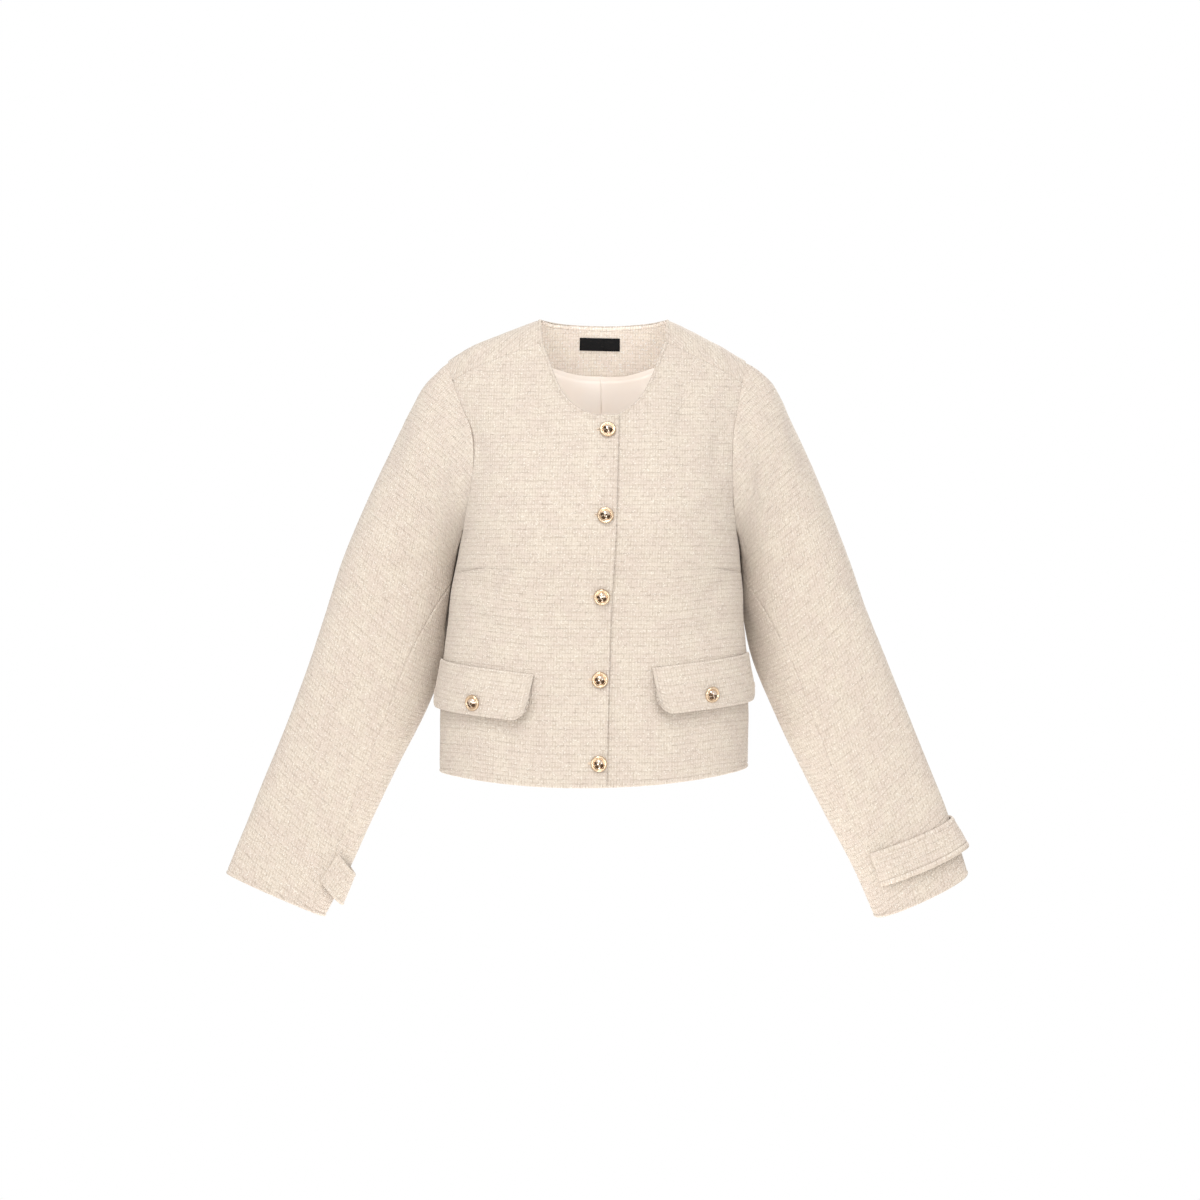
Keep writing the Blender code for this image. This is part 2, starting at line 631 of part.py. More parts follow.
def make_fronts():
    top, bottom = OVERLAP_EDGE
    cloth("front_right", TWEED, [front_chart(-1, lambda share: top + (bottom - top) * share)], on_body())

    def underlap(p, q):
        return -UNDERLAP_DROP * (1 - ease(*UNDERLAP_ENDS, p))

    cloth("front_left", TWEED, [front_chart(1, lambda share: UNDERLAP_EDGE)], on_body(underlap))


def make_back():
    right = [row[::-1] for row in back_chart(-1)]
    cloth("back", TWEED, [right, back_chart(1)], on_body(), slit=ROWS_BELOW + ROWS_TO_NECK)


def seam_to_seam(stops, seam_from, seam_to, middle):
    """Spread turns about a middle so that the first and last fall on the seams."""
    before = (seam_from - middle) / (stops[0] - middle)
    after = (seam_to - middle) / (stops[-1] - middle)
    space = SEAM / SLEEVE_RADIUS
    row = [middle + (stop - middle) * (before if stop > middle else after) for stop in stops]
    return [row[0] - space] + row[1:-1] + [row[-1] + space]


def make_sleeve(side, word):
    stops = armhole_stops(side)
    upper = stops[SLEEVE_SEAM_STOP:-SLEEVE_SEAM_STOP]
    under = [stop + 2 * pi for stop in stops[-SLEEVE_SEAM_STOP - 1 : -1]] + stops[: SLEEVE_SEAM_STOP + 1]
    upper_chart, under_chart = [], []
    for share in SLEEVE_RING_SHARES:
        turn = radians(sleeve_seam_turn(share)[0])
        sewn = 1 - ease(0.0, SLEEVE_JOINS, share)
        front = turn + (upper[0] - turn) * sewn
        back = -turn + (upper[-1] + turn) * sewn
        upper_chart.append([(stop, share) for stop in seam_to_seam(upper, front, back, 0.0)])
        under_chart.append([(stop, share) for stop in seam_to_seam(under, back + 2 * pi, front, pi)])
    cloth(f"sleeve_upper_{word}", TWEED, [upper_chart], on_sleeve(side))
    cloth(f"sleeve_under_{word}", TWEED, [under_chart], on_sleeve(side))


def make_strap(side, word):
    """A strap round the cuff, sewn in at both sleeve seams and standing off between them."""
    start, end = (radians(turn) for turn in STRAP_SPAN[side])
    at_ends, at_middle = STRAP_PLACE[side]
    half = STRAP_WIDE / 2 * STRAP_SHARE_PER_MM
    chart = []
    for offset in np.linspace(half, -half, STRAP_ROWS + 1):
        row = []
        for way in np.linspace(*STRAP_ENDS, STRAP_COLUMNS[side] + 1):
            row.append((start + (end - start) * way, at_ends + (at_middle - at_ends) * sin(pi * way) + offset))
        chart.append(row)

    def place(turn, share):
        way = (turn - start) / (end - start)
        normal = sleeve_normal(side, turn, share)
        lift = CLEAR + STRAP_WALL + STRAP_STANDS_OFF[side] * sin(pi * way) ** 2
        return sleeve(side, turn, share) + normal * lift, normal

    cloth(f"cuff_strap_{word}", TWEED, [chart], place, wall=STRAP_WALL)


def side_place(side, distance, height):
    """Chart place at a distance round the front from its middle, measured along the cloth."""
    places = np.linspace(0, 1, RING_PLACES)
    ring = np.array([body(side * p, height - UNDERARM) for p in places])
    lengths = np.concatenate(([0.0], np.cumsum(np.linalg.norm(np.diff(ring, axis=0), axis=1))))
    return side * float(np.interp(distance, lengths, places))


def flap_place(side, share_along, share_down):
    """Chart place on a flap. Its lower corners are round."""
    start = FLAP_START[0 if side < 0 else 1]
    inset = min(share_along, 1 - share_along) * FLAP_LENGTH
    into = 1 - min(inset / FLAP_CORNER, 1.0)
    short = FLAP_CORNER * (1 - sqrt(1 - into * into))
    down = share_down * (FLAP_DEEP - short)
    at_inner_end, at_side_end = FLAP_TOP[side]
    height = at_inner_end + (at_side_end - at_inner_end) * share_along - down
    distance = start + FLAP_LENGTH * share_along + FLAP_SLANT * down / FLAP_DEEP
    return side_place(side, distance, height), height - UNDERARM


def flap_lift(share_down):
    lift, lateness = FLAP_LIFT
    return CLEAR + FLAP_WALL + lift * share_down**lateness


def make_flap(side, word):
    corner = np.array(FLAP_CORNER_STEPS) * FLAP_CORNER / FLAP_LENGTH
    past_corner = 1.3 * FLAP_CORNER / FLAP_LENGTH
    share_along = [*corner, *np.linspace(past_corner, 1 - past_corner, FLAP_COLUMNS), *(1 - corner[::-1])]
    places = [[(share, down) for share in share_along] for down in FLAP_ROWS]

    def place(share, down):
        p, q = flap_place(side, share, down)
        normal = body_normal(p, q)
        return body(p, q) + normal * flap_lift(down), normal

    cloth(f"flap_{word}", TWEED, [places], place, wall=FLAP_WALL)


def button_mesh():
    """A domed button turned about its shank's axis, standing on its flat base."""
    outline = bmesh.new()
    verts = [outline.verts.new((r * BUTTON_RADIUS * MM, 0, h * BUTTON_RADIUS * MM)) for r, h in BUTTON_OUTLINE]
    for above, below in zip(verts, verts[1:]):
        outline.edges.new((above, below))
    bmesh.ops.spin(
        outline,
        geom=outline.verts[:] + outline.edges[:],
        axis=(0, 0, 1),
        angle=2 * pi,
        steps=BUTTON_STEPS,
        use_merge=True,
    )
    bmesh.ops.remove_doubles(outline, verts=outline.verts[:], dist=0.00001)
    bmesh.ops.recalc_face_normals(outline, faces=outline.faces[:])
    data = bpy.data.meshes.new("button")
    outline.to_mesh(data)
    outline.free()
    data.shade_smooth()
    data.set_sharp_from_angle(angle=radians(SHARP_ANGLE))
    return data


def add_button(name, mesh, point, normal):
    made = add_piece(name, GILT, mesh.copy())
    made.location = (point + normal * CLEAR + (0, 0, NECK_TOP)) * MM
    made.rotation_mode = "QUATERNION"
    made.rotation_quaternion = Vector(normal).to_track_quat("Z", "Y")


def make_buttons():
    mesh = button_mesh()
    for number, height in enumerate(BUTTON_HEIGHTS, start=1):
        p, q = chart_of(1, BUTTON_PLACE, height)
        add_button(f"button_{number}", mesh, body(p, q), body_normal(p, q))
    for side, word in SIDES:
        share_along, share_down = FLAP_BUTTON_PLACE[side]
        p, q = flap_place(side, share_along, share_down)
        normal = body_normal(p, q)
        add_button(f"flap_button_{word}", mesh, body(p, q) + normal * flap_lift(share_down), normal)


def facing_edge(side):
    """Curve of the facing's lower edge, from the middle of the back to the shoulder ridge."""
    lower = [(0.0, chart_of(side, 0.0, FACING_EDGE[0][1], behind=True)[1])]
    return path(lower + [chart_of(side, distance, height, behind=True) for distance, height in FACING_EDGE[1:]])[0]


def make_facing():
    halves = {}
    for side, _ in SIDES:
        neck, lower = path(back_neck(side))[0], facing_edge(side)
        shares = np.linspace(0, FACING_END, FACING_COLUMNS + 1)
        halves[side] = np.array([(neck(share), lower(share)) for share in shares])
    round_neck = np.concatenate((halves[-1][:0:-1], halves[1]))
    chart = [[tuple(edge + (low - edge) * share) for edge, low in round_neck] for share in FACING_ROWS]
    cloth("neck_facing", TWEED, [chart], on_body(lambda p, q: -FACING_DROP), wall=FACING_WALL)


def lining_chart(side):
    below, to_facing, beside = LINING_ROWS
    lower, armhole_edge = facing_edge(side), ARMHOLES[side][2]
    facing_share, armhole_share = LINING_TOP
    inner = along(path([(0.0, 2 * RISE), lower(0.0) + LINING_SPACE])[0], np.linspace(0, 1, to_facing + 1))
    inner += [lower(share) + LINING_SPACE for share in np.linspace(0, facing_share, beside + 1)[1:]]
    shares = np.linspace(LINING_START, armhole_share, to_facing + beside + 1)
    outer = [armhole_edge(share) + LINING_SPACE for share in shares]
    rows = rows_between(inner, outer, LINING_COLUMNS)
    return below_rows(below, rows[0], HEM_BACK + LINING_HEM, behind=True) + rows


def make_lining():
    right = [row[::-1] for row in lining_chart(-1)]
    slit = LINING_ROWS[0] + LINING_ROWS[1]
    lift = on_body(lambda p, q: -LINING_DROP)
    cloth("back_lining", LINING, [right, lining_chart(1)], lift, wall=LINING_WALL, slit=slit)


def make_label():
    (wide, high), (across, height) = LABEL_SIZE, LABEL_PLACE
    chart = []
    for up in (-high / 2, high / 2):
        row = []
        for x in np.linspace(across - wide / 2, across + wide / 2, LABEL_COLUMNS + 1):
            row.append(chart_of(np.sign(x), abs(x), height + up, behind=True))
        chart.append(row)
    drop = -FACING_DROP - FACING_WALL - SEAM
    cloth("label", LABEL, [chart], on_body(lambda p, q: drop), wall=LABEL_WALL)


def clear_scene():
    for old in list(bpy.data.objects):
        bpy.data.objects.remove(old, do_unlink=True)


COLLECTION = "cropped_tweed_jacket"
SIDES = ((-1, "right"), (1, "left"))
clear_scene()
bpy.context.scene.collection.children.link(bpy.data.collections.new(COLLECTION))
TWEED = finish("tweed", (0.86, 0.75, 0.62), 0.9)
LINING = finish("lining", (0.84, 0.70, 0.58), 0.45)
LABEL = finish("label", (0.02, 0.02, 0.02), 0.7)
GILT = finish("gilt", (0.86, 0.68, 0.42), 0.28, metallic=1.0)
make_fronts()
make_back()
for side, word in SIDES:
    make_sleeve(side, word)
    make_strap(side, word)
    make_flap(side, word)
make_buttons()
make_facing()
make_lining()
make_label()
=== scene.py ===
# %% [markdown]
# A cropped tweed jacket, filled out as if somebody wore it. Eleven pieces of cloth make its outside: two
# fronts, a back, two sleeves of two pieces each, two pocket flaps and two cuff straps. Inside the neck a
# tweed facing, a satin lining and a bare black label show. Seven gilt buttons close it. This lesson makes
# each of them as fine cloth on the same form that the solid model was cut from, so first it loads that
# model and counts its pieces.

from math import pi, radians

import bmesh
import bpy
import numpy as np
from mathutils import Matrix, Vector


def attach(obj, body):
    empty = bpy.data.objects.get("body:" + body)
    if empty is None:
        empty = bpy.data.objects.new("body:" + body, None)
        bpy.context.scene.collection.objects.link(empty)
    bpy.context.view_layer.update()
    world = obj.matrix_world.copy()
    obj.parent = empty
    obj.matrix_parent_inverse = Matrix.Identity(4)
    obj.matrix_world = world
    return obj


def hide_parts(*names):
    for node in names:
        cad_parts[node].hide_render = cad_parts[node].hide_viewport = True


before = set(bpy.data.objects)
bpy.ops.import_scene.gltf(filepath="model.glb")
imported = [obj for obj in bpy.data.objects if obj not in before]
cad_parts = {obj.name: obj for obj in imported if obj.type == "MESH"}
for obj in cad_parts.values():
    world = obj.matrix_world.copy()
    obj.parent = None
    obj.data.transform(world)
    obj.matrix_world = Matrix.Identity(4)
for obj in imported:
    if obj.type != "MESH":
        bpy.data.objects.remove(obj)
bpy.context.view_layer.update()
print("solid pieces:", len(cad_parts))

# %% [markdown]
# The jacket hangs in plain soft daylight before a white ground. A white world lights it from all sides, and
# a pale floor lies below. Two lamps from above give the folds a lighter and a darker side. Low ones in front
# and at both sides keep the shadows pale, as white boards in a studio do, one behind brightens the edges, and
# one below the hem lights the inside. The camera stands level with the jacket's middle and far away, through
# a long lens, so that near and far parts keep their sizes.

# %% Studio
MM = 0.001
PIXEL = 1.15  # millimetres of the jacket in a pixel of the 1200 pixel frame
NECK_TOP = 8.0  # height of the neck edge's top, in millimetres
FRAME_WIDE = 1200 * PIXEL * MM
FRAME_MIDDLE = NECK_TOP - 281 * PIXEL  # height of the frame's middle, in millimetres
CAMERA_AWAY = 4.5
LAMPS_AIM = Vector((0, 0, -0.3))
LAMPS = (  # name, place, size, power
    ("lamp_above", (-0.4, -1.9, 2.4), 1.0, 40.0),
    ("lamp_in_front", (-0.1, -2.9, 1.7), 0.9, 17.0),
    ("lamp_low_left", (-0.8, -3.4, -0.6), 0.9, 15.0),
    ("lamp_low_right", (0.8, -3.4, -0.6), 0.9, 15.0),
    ("lamp_at_left", (-2.4, -2.6, 0.15), 0.9, 14.0),
    ("lamp_at_right", (2.4, -2.6, 0.15), 0.9, 10.0),
    ("lamp_behind", (0.9, 2.6, 1.3), 1.6, 66.0),
    ("lamp_below", (0.0, 0.05, -1.62), 0.5, 11.0),
)
FLOOR_HEIGHT, FLOOR_HALF = -1.7, 4.0

scene = bpy.context.scene
world = bpy.data.worlds.new("white_ground")
world.use_nodes = True
world.node_tree.nodes["Background"].inputs["Color"].default_value = (1.0, 1.0, 1.0, 1.0)
world.node_tree.nodes["Background"].inputs["Strength"].default_value = 1.0
scene.world = world
scene.view_settings.view_transform = "Standard"

lens = bpy.data.cameras.new("camera")
lens.sensor_width = 36.0
lens.lens = lens.sensor_width * CAMERA_AWAY / FRAME_WIDE
camera = bpy.data.objects.new("camera", lens)
camera.location = (0, -CAMERA_AWAY, FRAME_MIDDLE * MM)
camera.rotation_euler = (pi / 2, 0, 0)
scene.collection.objects.link(camera)
scene.camera = camera

for name, place, size, power in LAMPS:
    light = bpy.data.lights.new(name, "AREA")
    light.shape, light.size, light.energy = "DISK", size, power
    lamp = bpy.data.objects.new(name, light)
    lamp.location = place
    lamp.rotation_euler = (LAMPS_AIM - Vector(place)).to_track_quat("-Z", "Y").to_euler()
    scene.collection.objects.link(lamp)
bpy.data.objects["lamp_below"].visible_camera = False

bm = bmesh.new()
bmesh.ops.create_grid(bm, x_segments=1, y_segments=1, size=FLOOR_HALF)
bmesh.ops.translate(bm, verts=bm.verts, vec=(0, 0, FLOOR_HEIGHT))
floor_mesh = bpy.data.meshes.new("floor")
bm.to_mesh(floor_mesh)
bm.free()
floor = bpy.data.objects.new("floor", floor_mesh)
scene.collection.objects.link(floor)
print("lamps:", len(LAMPS), "- focal length:", round(lens.lens), "mm")

# %% [markdown]
# A finish is a small network of shader nodes. Wiring it by hand is slow to read, so one class wraps a
# socket and lets Python's own signs add the Math nodes: `1 - shine * 2` makes two of them. Every other node
# comes from one method.

# %% Wires for shader sums


class Wire:
    """An output socket that can be used in sums."""

    def __init__(self, finish, socket):
        self.finish, self.socket = finish, socket

    def sum(self, operation, *others):
        inputs = dict(enumerate((self, *others)))
        return self.finish.node("Math", {"operation": operation}, inputs)

    def __add__(self, other):
        return self.sum("ADD", other)

    def __mul__(self, other):
        return self.sum("MULTIPLY", other)

    def __sub__(self, other):
        return self.sum("SUBTRACT", other)

    def __rsub__(self, other):
        return self.finish.node("Math", {"operation": "SUBTRACT"}, {0: other, 1: self})

    __radd__ = __add__

    def between(self, low, high):
        """0 below low, 1 above high and soft in between."""
        inputs = {"Value": self, "From Min": low, "From Max": high}
        return self.finish.node("MapRange", {"interpolation_type": "SMOOTHSTEP"}, inputs)


class Finish:
    """A material with its Principled shader, and the wires that lead to it."""

    def __init__(self, name):
        self.material = bpy.data.materials.new(name)
        self.material.use_nodes = True
        self.tree = self.material.node_tree
        self.shader = self.tree.nodes["Principled BSDF"]

    def node(self, kind, settings=None, inputs=None, output=0):
        made = self.tree.nodes.new("ShaderNode" + kind)
        for name, value in (settings or {}).items():
            setattr(made, name, value)
        for name, value in (inputs or {}).items():
            if isinstance(value, Wire):
                self.tree.links.new(value.socket, made.inputs[name])
            else:
                made.inputs[name].default_value = value
        return Wire(self, made.outputs[output])

    def weave(self):
        """Place on the weave's map."""
        return self.node("UVMap", {"uv_map": "weave"})

    def split(self, wire):
        """The first two parts of a place or a colour."""
        first = self.node("SeparateXYZ", {}, {0: wire})
        return first, Wire(self, first.socket.node.outputs[1])

    def noise(self, place, size, detail=2.0, roughness=0.5, output="Fac"):
        """Flat noise whose lumps are about size across."""
        inputs = {"Vector": place, "Scale": 1 / size, "Detail": detail, "Roughness": roughness}
        return self.node("TexNoise", {"noise_dimensions": "2D"}, inputs, output)

    def grain(self, scale, detail=2.0):
        """Noise through the object's own space."""
        place = self.node("TexCoord", output="Object")
        return self.node("TexNoise", {}, {"Vector": place, "Scale": scale, "Detail": detail})

    def blend(self, factor, first, second):
        """A colour between two others."""
        made = self.tree.nodes.new("ShaderNodeMix")
        made.data_type = "RGBA"
        for socket, value in zip((made.inputs[0], made.inputs[6], made.inputs[7]), (factor, first, second)):
            if isinstance(value, Wire):
                self.tree.links.new(value.socket, socket)
            elif socket.type == "RGBA":
                socket.default_value = (*value, 1.0)
            else:
                socket.default_value = value
        return Wire(self, made.outputs[2])

    def feed(self, **wires):
        for name, wire in wires.items():
            self.tree.links.new(wire.socket, self.shader.inputs[name.replace("_", " ")])

    def set(self, **values):
        for name, value in values.items():
            self.shader.inputs[name.replace("_", " ")].default_value = value

    def bump(self, height, depth):
        return self.node("Bump", {}, {"Height": height, "Distance": depth * MM, "Strength": 1.0})


pale = Finish("pale_floor")
pale.set(Base_Color=(0.90, 0.875, 0.845, 1.0), Roughness=0.9)
floor_mesh.materials.append(pale.material)
print("the floor's finish has", len(pale.tree.nodes), "nodes")

# %% [markdown]
# Boucle tweed is a loose basket weave. Its yarns leave a fine net of gaps, and a thin yarn every few rows
# leaves a broken hairline across the cloth. Both are sunk by a bump and darkened with warmer painted shade,
# as are the hollows between the lumps. The loops of a fancy yarn stand up as small nubs with a painted
# highlight.
# All of this follows the threads, so the pattern reads a map in which one unit is a metre of cloth, laid out
# for each piece as it is cut. Waves make the net, since they keep the threads' even spacing, and noise makes
# each thread wander and the gaps open unevenly.

# %% Tweed
# The second colour is painted shade for the weave's gaps, hairlines and hollows, the third a painted
# highlight on the raised loops of the nubs.
TWEED, TWEED_GAP_SHADE, TWEED_NUB_HIGHLIGHT = (0.551, 0.486, 0.423), (0.355, 0.287, 0.223), (0.72, 0.675, 0.60)
TWEED_PINK, TWEED_CREAM = (0.975, 0.955, 0.955), (1.02, 1.025, 1.005)
MOST_REFLECTED = 0.94  # no cloth sends back more of the light than this
WARP_WIDE, WEFT_WIDE, HAIRLINE_EVERY = 3.15, 4.7, 9.4  # millimetres from thread to thread
WANDER = 1.1  # how far a thread strays from its line, in millimetres
TWEED_DEPTH = 0.75  # depth of the weave's bump, in millimetres


def tinted(colour, tint):
    """A colour with each of its parts multiplied."""
    return tuple(min(part * share, MOST_REFLECTED) for part, share in zip(colour, tint))


def wave(value, length):
    """Goes up and down once in a length."""
    return (value * (2 * pi / length)).sum("SINE")


# tint multiplies every colour of the weave; a tint above 1 paints extra light onto a copy of the tweed.
def tweed_finish(name, tint=(1.0, 1.0, 1.0)):
    finish = Finish(name)
    place = finish.weave()
    stray, stray_up = finish.split(finish.noise(place, 14.0 * MM, output="Color"))
    across, up = finish.split(place)
    across = across * (1 / MM) + (stray - 0.5) * WANDER
    up = up * (1 / MM) + (stray_up - 0.5) * WANDER
    streaks = finish.noise(finish.node("CombineXYZ", {}, {0: across * 0.25, 1: up * 1.6}), 1 / 0.35)
    over = (wave(across, 2 * WARP_WIDE) * wave(up, 2 * WEFT_WIDE)).between(-0.3, 0.3)
    columns = wave(across, WARP_WIDE).between(0.0, 0.9) * (over * 0.3 + 0.7)
    rows = wave(up, WEFT_WIDE).between(0.2, 1.0) * (1 - over * 0.3)
    fine_rows = wave(up + WEFT_WIDE / 4, WEFT_WIDE / 2).between(0.3, 1.0) * 0.4
    hairline = wave(up + streaks * 9.0, HAIRLINE_EVERY).between(0.90, 1.0) * streaks.between(0.47, 0.56)
    lumps = finish.noise(place, 2.1 * MM, 3.0, 0.6).between(0.3, 0.72)
    uneven_gaps = finish.noise(place, 6.0 * MM, 1.0).between(0.36, 0.64)
    cells = {"Vector": place, "Scale": 1 / (3.4 * MM), "Randomness": 1.0}
    nubs = finish.node("TexVoronoi", {"voronoi_dimensions": "2D"}, cells)
    nubs = (1 - nubs.between(0.12, 0.32)) * finish.noise(place, 4.6 * MM).between(0.48, 0.57)
    net = columns.sum("MAXIMUM", rows).sum("MAXIMUM", fine_rows) * (uneven_gaps * 0.5 + 0.5)
    height = lumps * 0.28 + nubs * 0.38 - net * 0.46 - hairline * 0.25
    # Mask of painted shade: the net, the hairlines and the hollows between the lumps are darkened in colour.
    gap = (net * 0.52 + (1 - lumps) * 0.16).sum("MAXIMUM", hairline * 0.46)
    shade = finish.noise(place, 24.0 * MM).between(0.32, 0.68)
    ground = tinted(TWEED, tint)
    colour = finish.blend(shade, tinted(ground, TWEED_PINK), tinted(ground, TWEED_CREAM))
    colour = finish.blend(gap, colour, tinted(TWEED_GAP_SHADE, tint))
    # Painted highlight: the raised nubs are made lighter in colour.
    colour = finish.blend(nubs * 0.6, colour, tinted(TWEED_NUB_HIGHLIGHT, tint))
    finish.feed(Base_Color=colour, Normal=finish.bump(height, TWEED_DEPTH))
    finish.set(Roughness=0.92, Sheen_Weight=0.15, Sheen_Roughness=0.5, Specular_IOR_Level=0.25)
    print(name + ":", len(finish.tree.nodes), "nodes")
    return finish.material


TWEED_FINISH = tweed_finish("boucle_tweed")

# %% [markdown]
# The lining is a pinkish beige satin: smooth, with a soft gloss and hardly any weave. The label is a black
# woven tape, left bare. The buttons are pale gilt metal, which gets its look from what it mirrors, so the
# rim's colour barely changes and only fine scratches move the roughness. On each polished crown, dark
# reflections of the room are painted into the colour. The buttonholes are worked in matt cream thread.

# %% Satin, tape, gilt and thread
satin = Finish("satin_lining")
satin_ribs = satin.noise(satin.weave(), 0.8 * MM, 1.0)
satin_clouds = satin.noise(satin.weave(), 40.0 * MM)
satin.feed(
    Base_Color=satin.blend(satin_clouds.between(0.3, 0.7), (0.94, 0.842, 0.755), (0.95, 0.868, 0.795)),
    Roughness=satin_ribs * 0.15 + 0.38,
    Normal=satin.bump(satin_ribs, 0.04),
)
satin.set(Sheen_Weight=0.2, Specular_IOR_Level=0.4)

TAPE_RIB = 0.9 * MM
tape = Finish("black_tape")
tape_across, tape_up = tape.split(tape.weave())
tape_ribs = wave(tape_up, TAPE_RIB) * wave(tape_across, TAPE_RIB)
tape.feed(
    Base_Color=tape.blend(tape_ribs * 0.5 + 0.5, (0.004, 0.004, 0.004), (0.012, 0.012, 0.013)),
    Normal=tape.bump(tape_ribs, 0.12),
)
tape.set(Roughness=0.7, Specular_IOR_Level=0.12)

gilt = Finish("pale_gilt")
gilt_tone = gilt.grain(160.0, 1.0)
gilt.feed(
    Base_Color=gilt.blend(gilt_tone.between(0.35, 0.65), (0.60, 0.445, 0.30), (0.69, 0.53, 0.375)),
    Roughness=gilt.grain(900.0, 3.0) * 0.16 + 0.18,
)
gilt.set(Metallic=1.0)

# Painted reflections: dark patches painted into the crown's colour where it would mirror something dark.
PAINTED_CROWN_REFLECTIONS = (  # places that mirror something dark: x, y, radius
    (-0.42, 0.04, 0.26), (-0.24, -0.36, 0.27), (0.37, -0.25, 0.28), (0.07, -0.05, 0.12),
)
crown = Finish("polished_crown")
crown_place = crown.node("UVMap", {"uv_map": "face"})
crown_bend = crown.noise(crown_place, 0.3125)
# Mask of the painted dark reflections on the crown.
crown_painted_reflection = 0.0
for dark_x, dark_y, radius in PAINTED_CROWN_REFLECTIONS:
    ends = {0: crown_place, 1: (dark_x, dark_y, 0)}
    off = crown.node("VectorMath", {"operation": "DISTANCE"}, ends, "Value")
    crown_painted_reflection = crown_painted_reflection + (1 - (off + (crown_bend - 0.5) * 0.30).between(radius * 0.65, radius * 1.25))
crown.feed(
    Base_Color=crown.blend(crown_painted_reflection.sum("MINIMUM", 1.0), (0.68, 0.545, 0.43), (0.075, 0.045, 0.026)),
    Roughness=crown.grain(900.0) * 0.1 + 0.06,
)
crown.set(Metallic=1.0)

thread = Finish("cream_thread")
thread_twist = thread.grain(1400.0, 1.0)
thread.feed(
    Base_Color=thread.blend(thread_twist, (0.46, 0.36, 0.27), (0.66, 0.55, 0.44)),
    Normal=thread.bump(thread_twist, 0.2),
)
thread.set(Roughness=0.8)

slit_dark = Finish("slit_shadow")
slit_dark.feed(Base_Color=slit_dark.blend(slit_dark.grain(900.0), (0.06, 0.045, 0.035), (0.12, 0.09, 0.07)))
slit_dark.set(Roughness=0.95)
print("finishes:", len(bpy.data.materials))

# %% [markdown]
# The cloth lies on two simple forms, the same ones that the solid model uses. Both are kept as tables of
# sizes at a few places, in millimetres, with heights measured from the top of the neck edge. Small helpers
# read such a table smoothly, ease from one value to another, close a round section and sink soft troughs
# into cloth. Tables are easier to read and to correct than a sculpted mesh, and every piece of cloth can
# share them.

# %% Smooth tables


def smooth(rows):
    """Give a smooth function of a table: the first column in, the other columns out."""
    table = np.array(sorted(rows), float)
    places, values = table[:, 0], table[:, 1:]
    slopes = np.gradient(values, places, axis=0)

    def read(place):
        place = np.clip(np.asarray(place, float), places[0], places[-1])
        i = np.clip(np.searchsorted(places, place, side="right") - 1, 0, len(places) - 2)
        span = (places[i + 1] - places[i])[..., None]
        t = (place - places[i])[..., None] / span
        start = (1 + 2 * t) * (1 - t) ** 2 * values[i] + t * (1 - t) ** 2 * span * slopes[i]
        end = t * t * (3 - 2 * t) * values[i + 1] - t * t * (1 - t) * span * slopes[i + 1]
        return start + end

    return read


def ease(start, end, value):
    """Go softly from 0 at start to 1 at end."""
    t = np.clip((value - start) / (end - start), 0.0, 1.0)
    return t * t * (3 - 2 * t)


def mix(first, second, share):
    """Go evenly from first at share 0 to second at share 1."""
    return first * (1 - share) + second * share


def hump(value, middle, width):
    """1 at the middle, and soon 0 on both sides."""
    return np.exp(-(((value - middle) / width) ** 2))


def section(turn, roundness):
    """Unit closed section: across and along shares at an angle."""
    size = (abs(np.sin(turn)) ** roundness + abs(np.cos(turn)) ** roundness) ** (-1 / roundness)
    return size * np.sin(turn), size * np.cos(turn)


def trough(folds, place, scale=(1.0, 1.0)):
    """Depth at a place of soft troughs that fade out towards both ends."""
    depth = 0.0
    for x0, y0, x1, y1, width, deep in folds:
        start = np.array((x0, y0), float) * scale
        line = np.array((x1, y1), float) * scale - start
        away = place * np.array(scale) - start
        share = np.clip(away @ line / (line @ line), 0.0, 1.0)
        off = away - line * share[..., None]
        depth = depth + deep * np.exp(-(off**2).sum(-1) / width**2) * (0.45 + 0.55 * np.sin(pi * share))
    return depth


print("half way from 0 to 1:", ease(0.0, 1.0, 0.5), "- a quarter of the way:", ease(0.0, 1.0, 0.25))

# %% [markdown]
# The first form is the filled out body, a little squarer than an oval. Its chart has two numbers: p goes
# round it, from -1 at the wearer's right side seam through 0 in the middle to 1 at the left, and q climbs
# from the front hem over the shoulder ridge and down the back. The broad folds that worn cloth always has
# are part of the form, so the pieces that lie on each other follow them together.

# %% The body's form
UNDERARM, RISE = -250.0, 230.0  # the underarm level, and the climb on the chart from there to the ridge
BODY_ROUNDNESS = 2.5  # 2 is an ellipse, more is squarer
SHOULDERS_WIDEN, SIDES_TILT = 32.0, 3.0
body_level = smooth((  # height, half width, depth in front, depth behind
    (-535, 176.6, 116, 106), (-470, 177.0, 113, 102), (-430, 176.5, 111, 99), (-392, 174.5, 110, 97),
    (-344, 169.5, 112, 96), (-308, 167.0, 116, 97), (-285, 163.5, 120, 98), (-250, 159.0, 124, 100),
))
body_middle = smooth(((-535, -7.4), (-400, -5.8), (-330, -4.3), (-263, -1.0), (-130, 2.8), (20, 4.6)))
ridge_heights = smooth((  # distance from the middle, height on the right, height on the left
    (0, 20, 20), (72, 0, 0), (100, -10, -13), (120, -18, -23.5), (136, -24.2, -31.4), (150, -30, -40),
    (165, -38.7, -49), (180, -49, -58.7), (200, -66, -73),
))
FRONT_FOLDS = (
    (-66, -62, -74, -190, 14, 2.6), (-122, -276, -140, -330, 13, 2.2), (96, -80, 90, -150, 14, 2.4),
    (118, -300, 138, -372, 15, 2.0), (-60, -300, -96, -392, 20, 1.6),
)
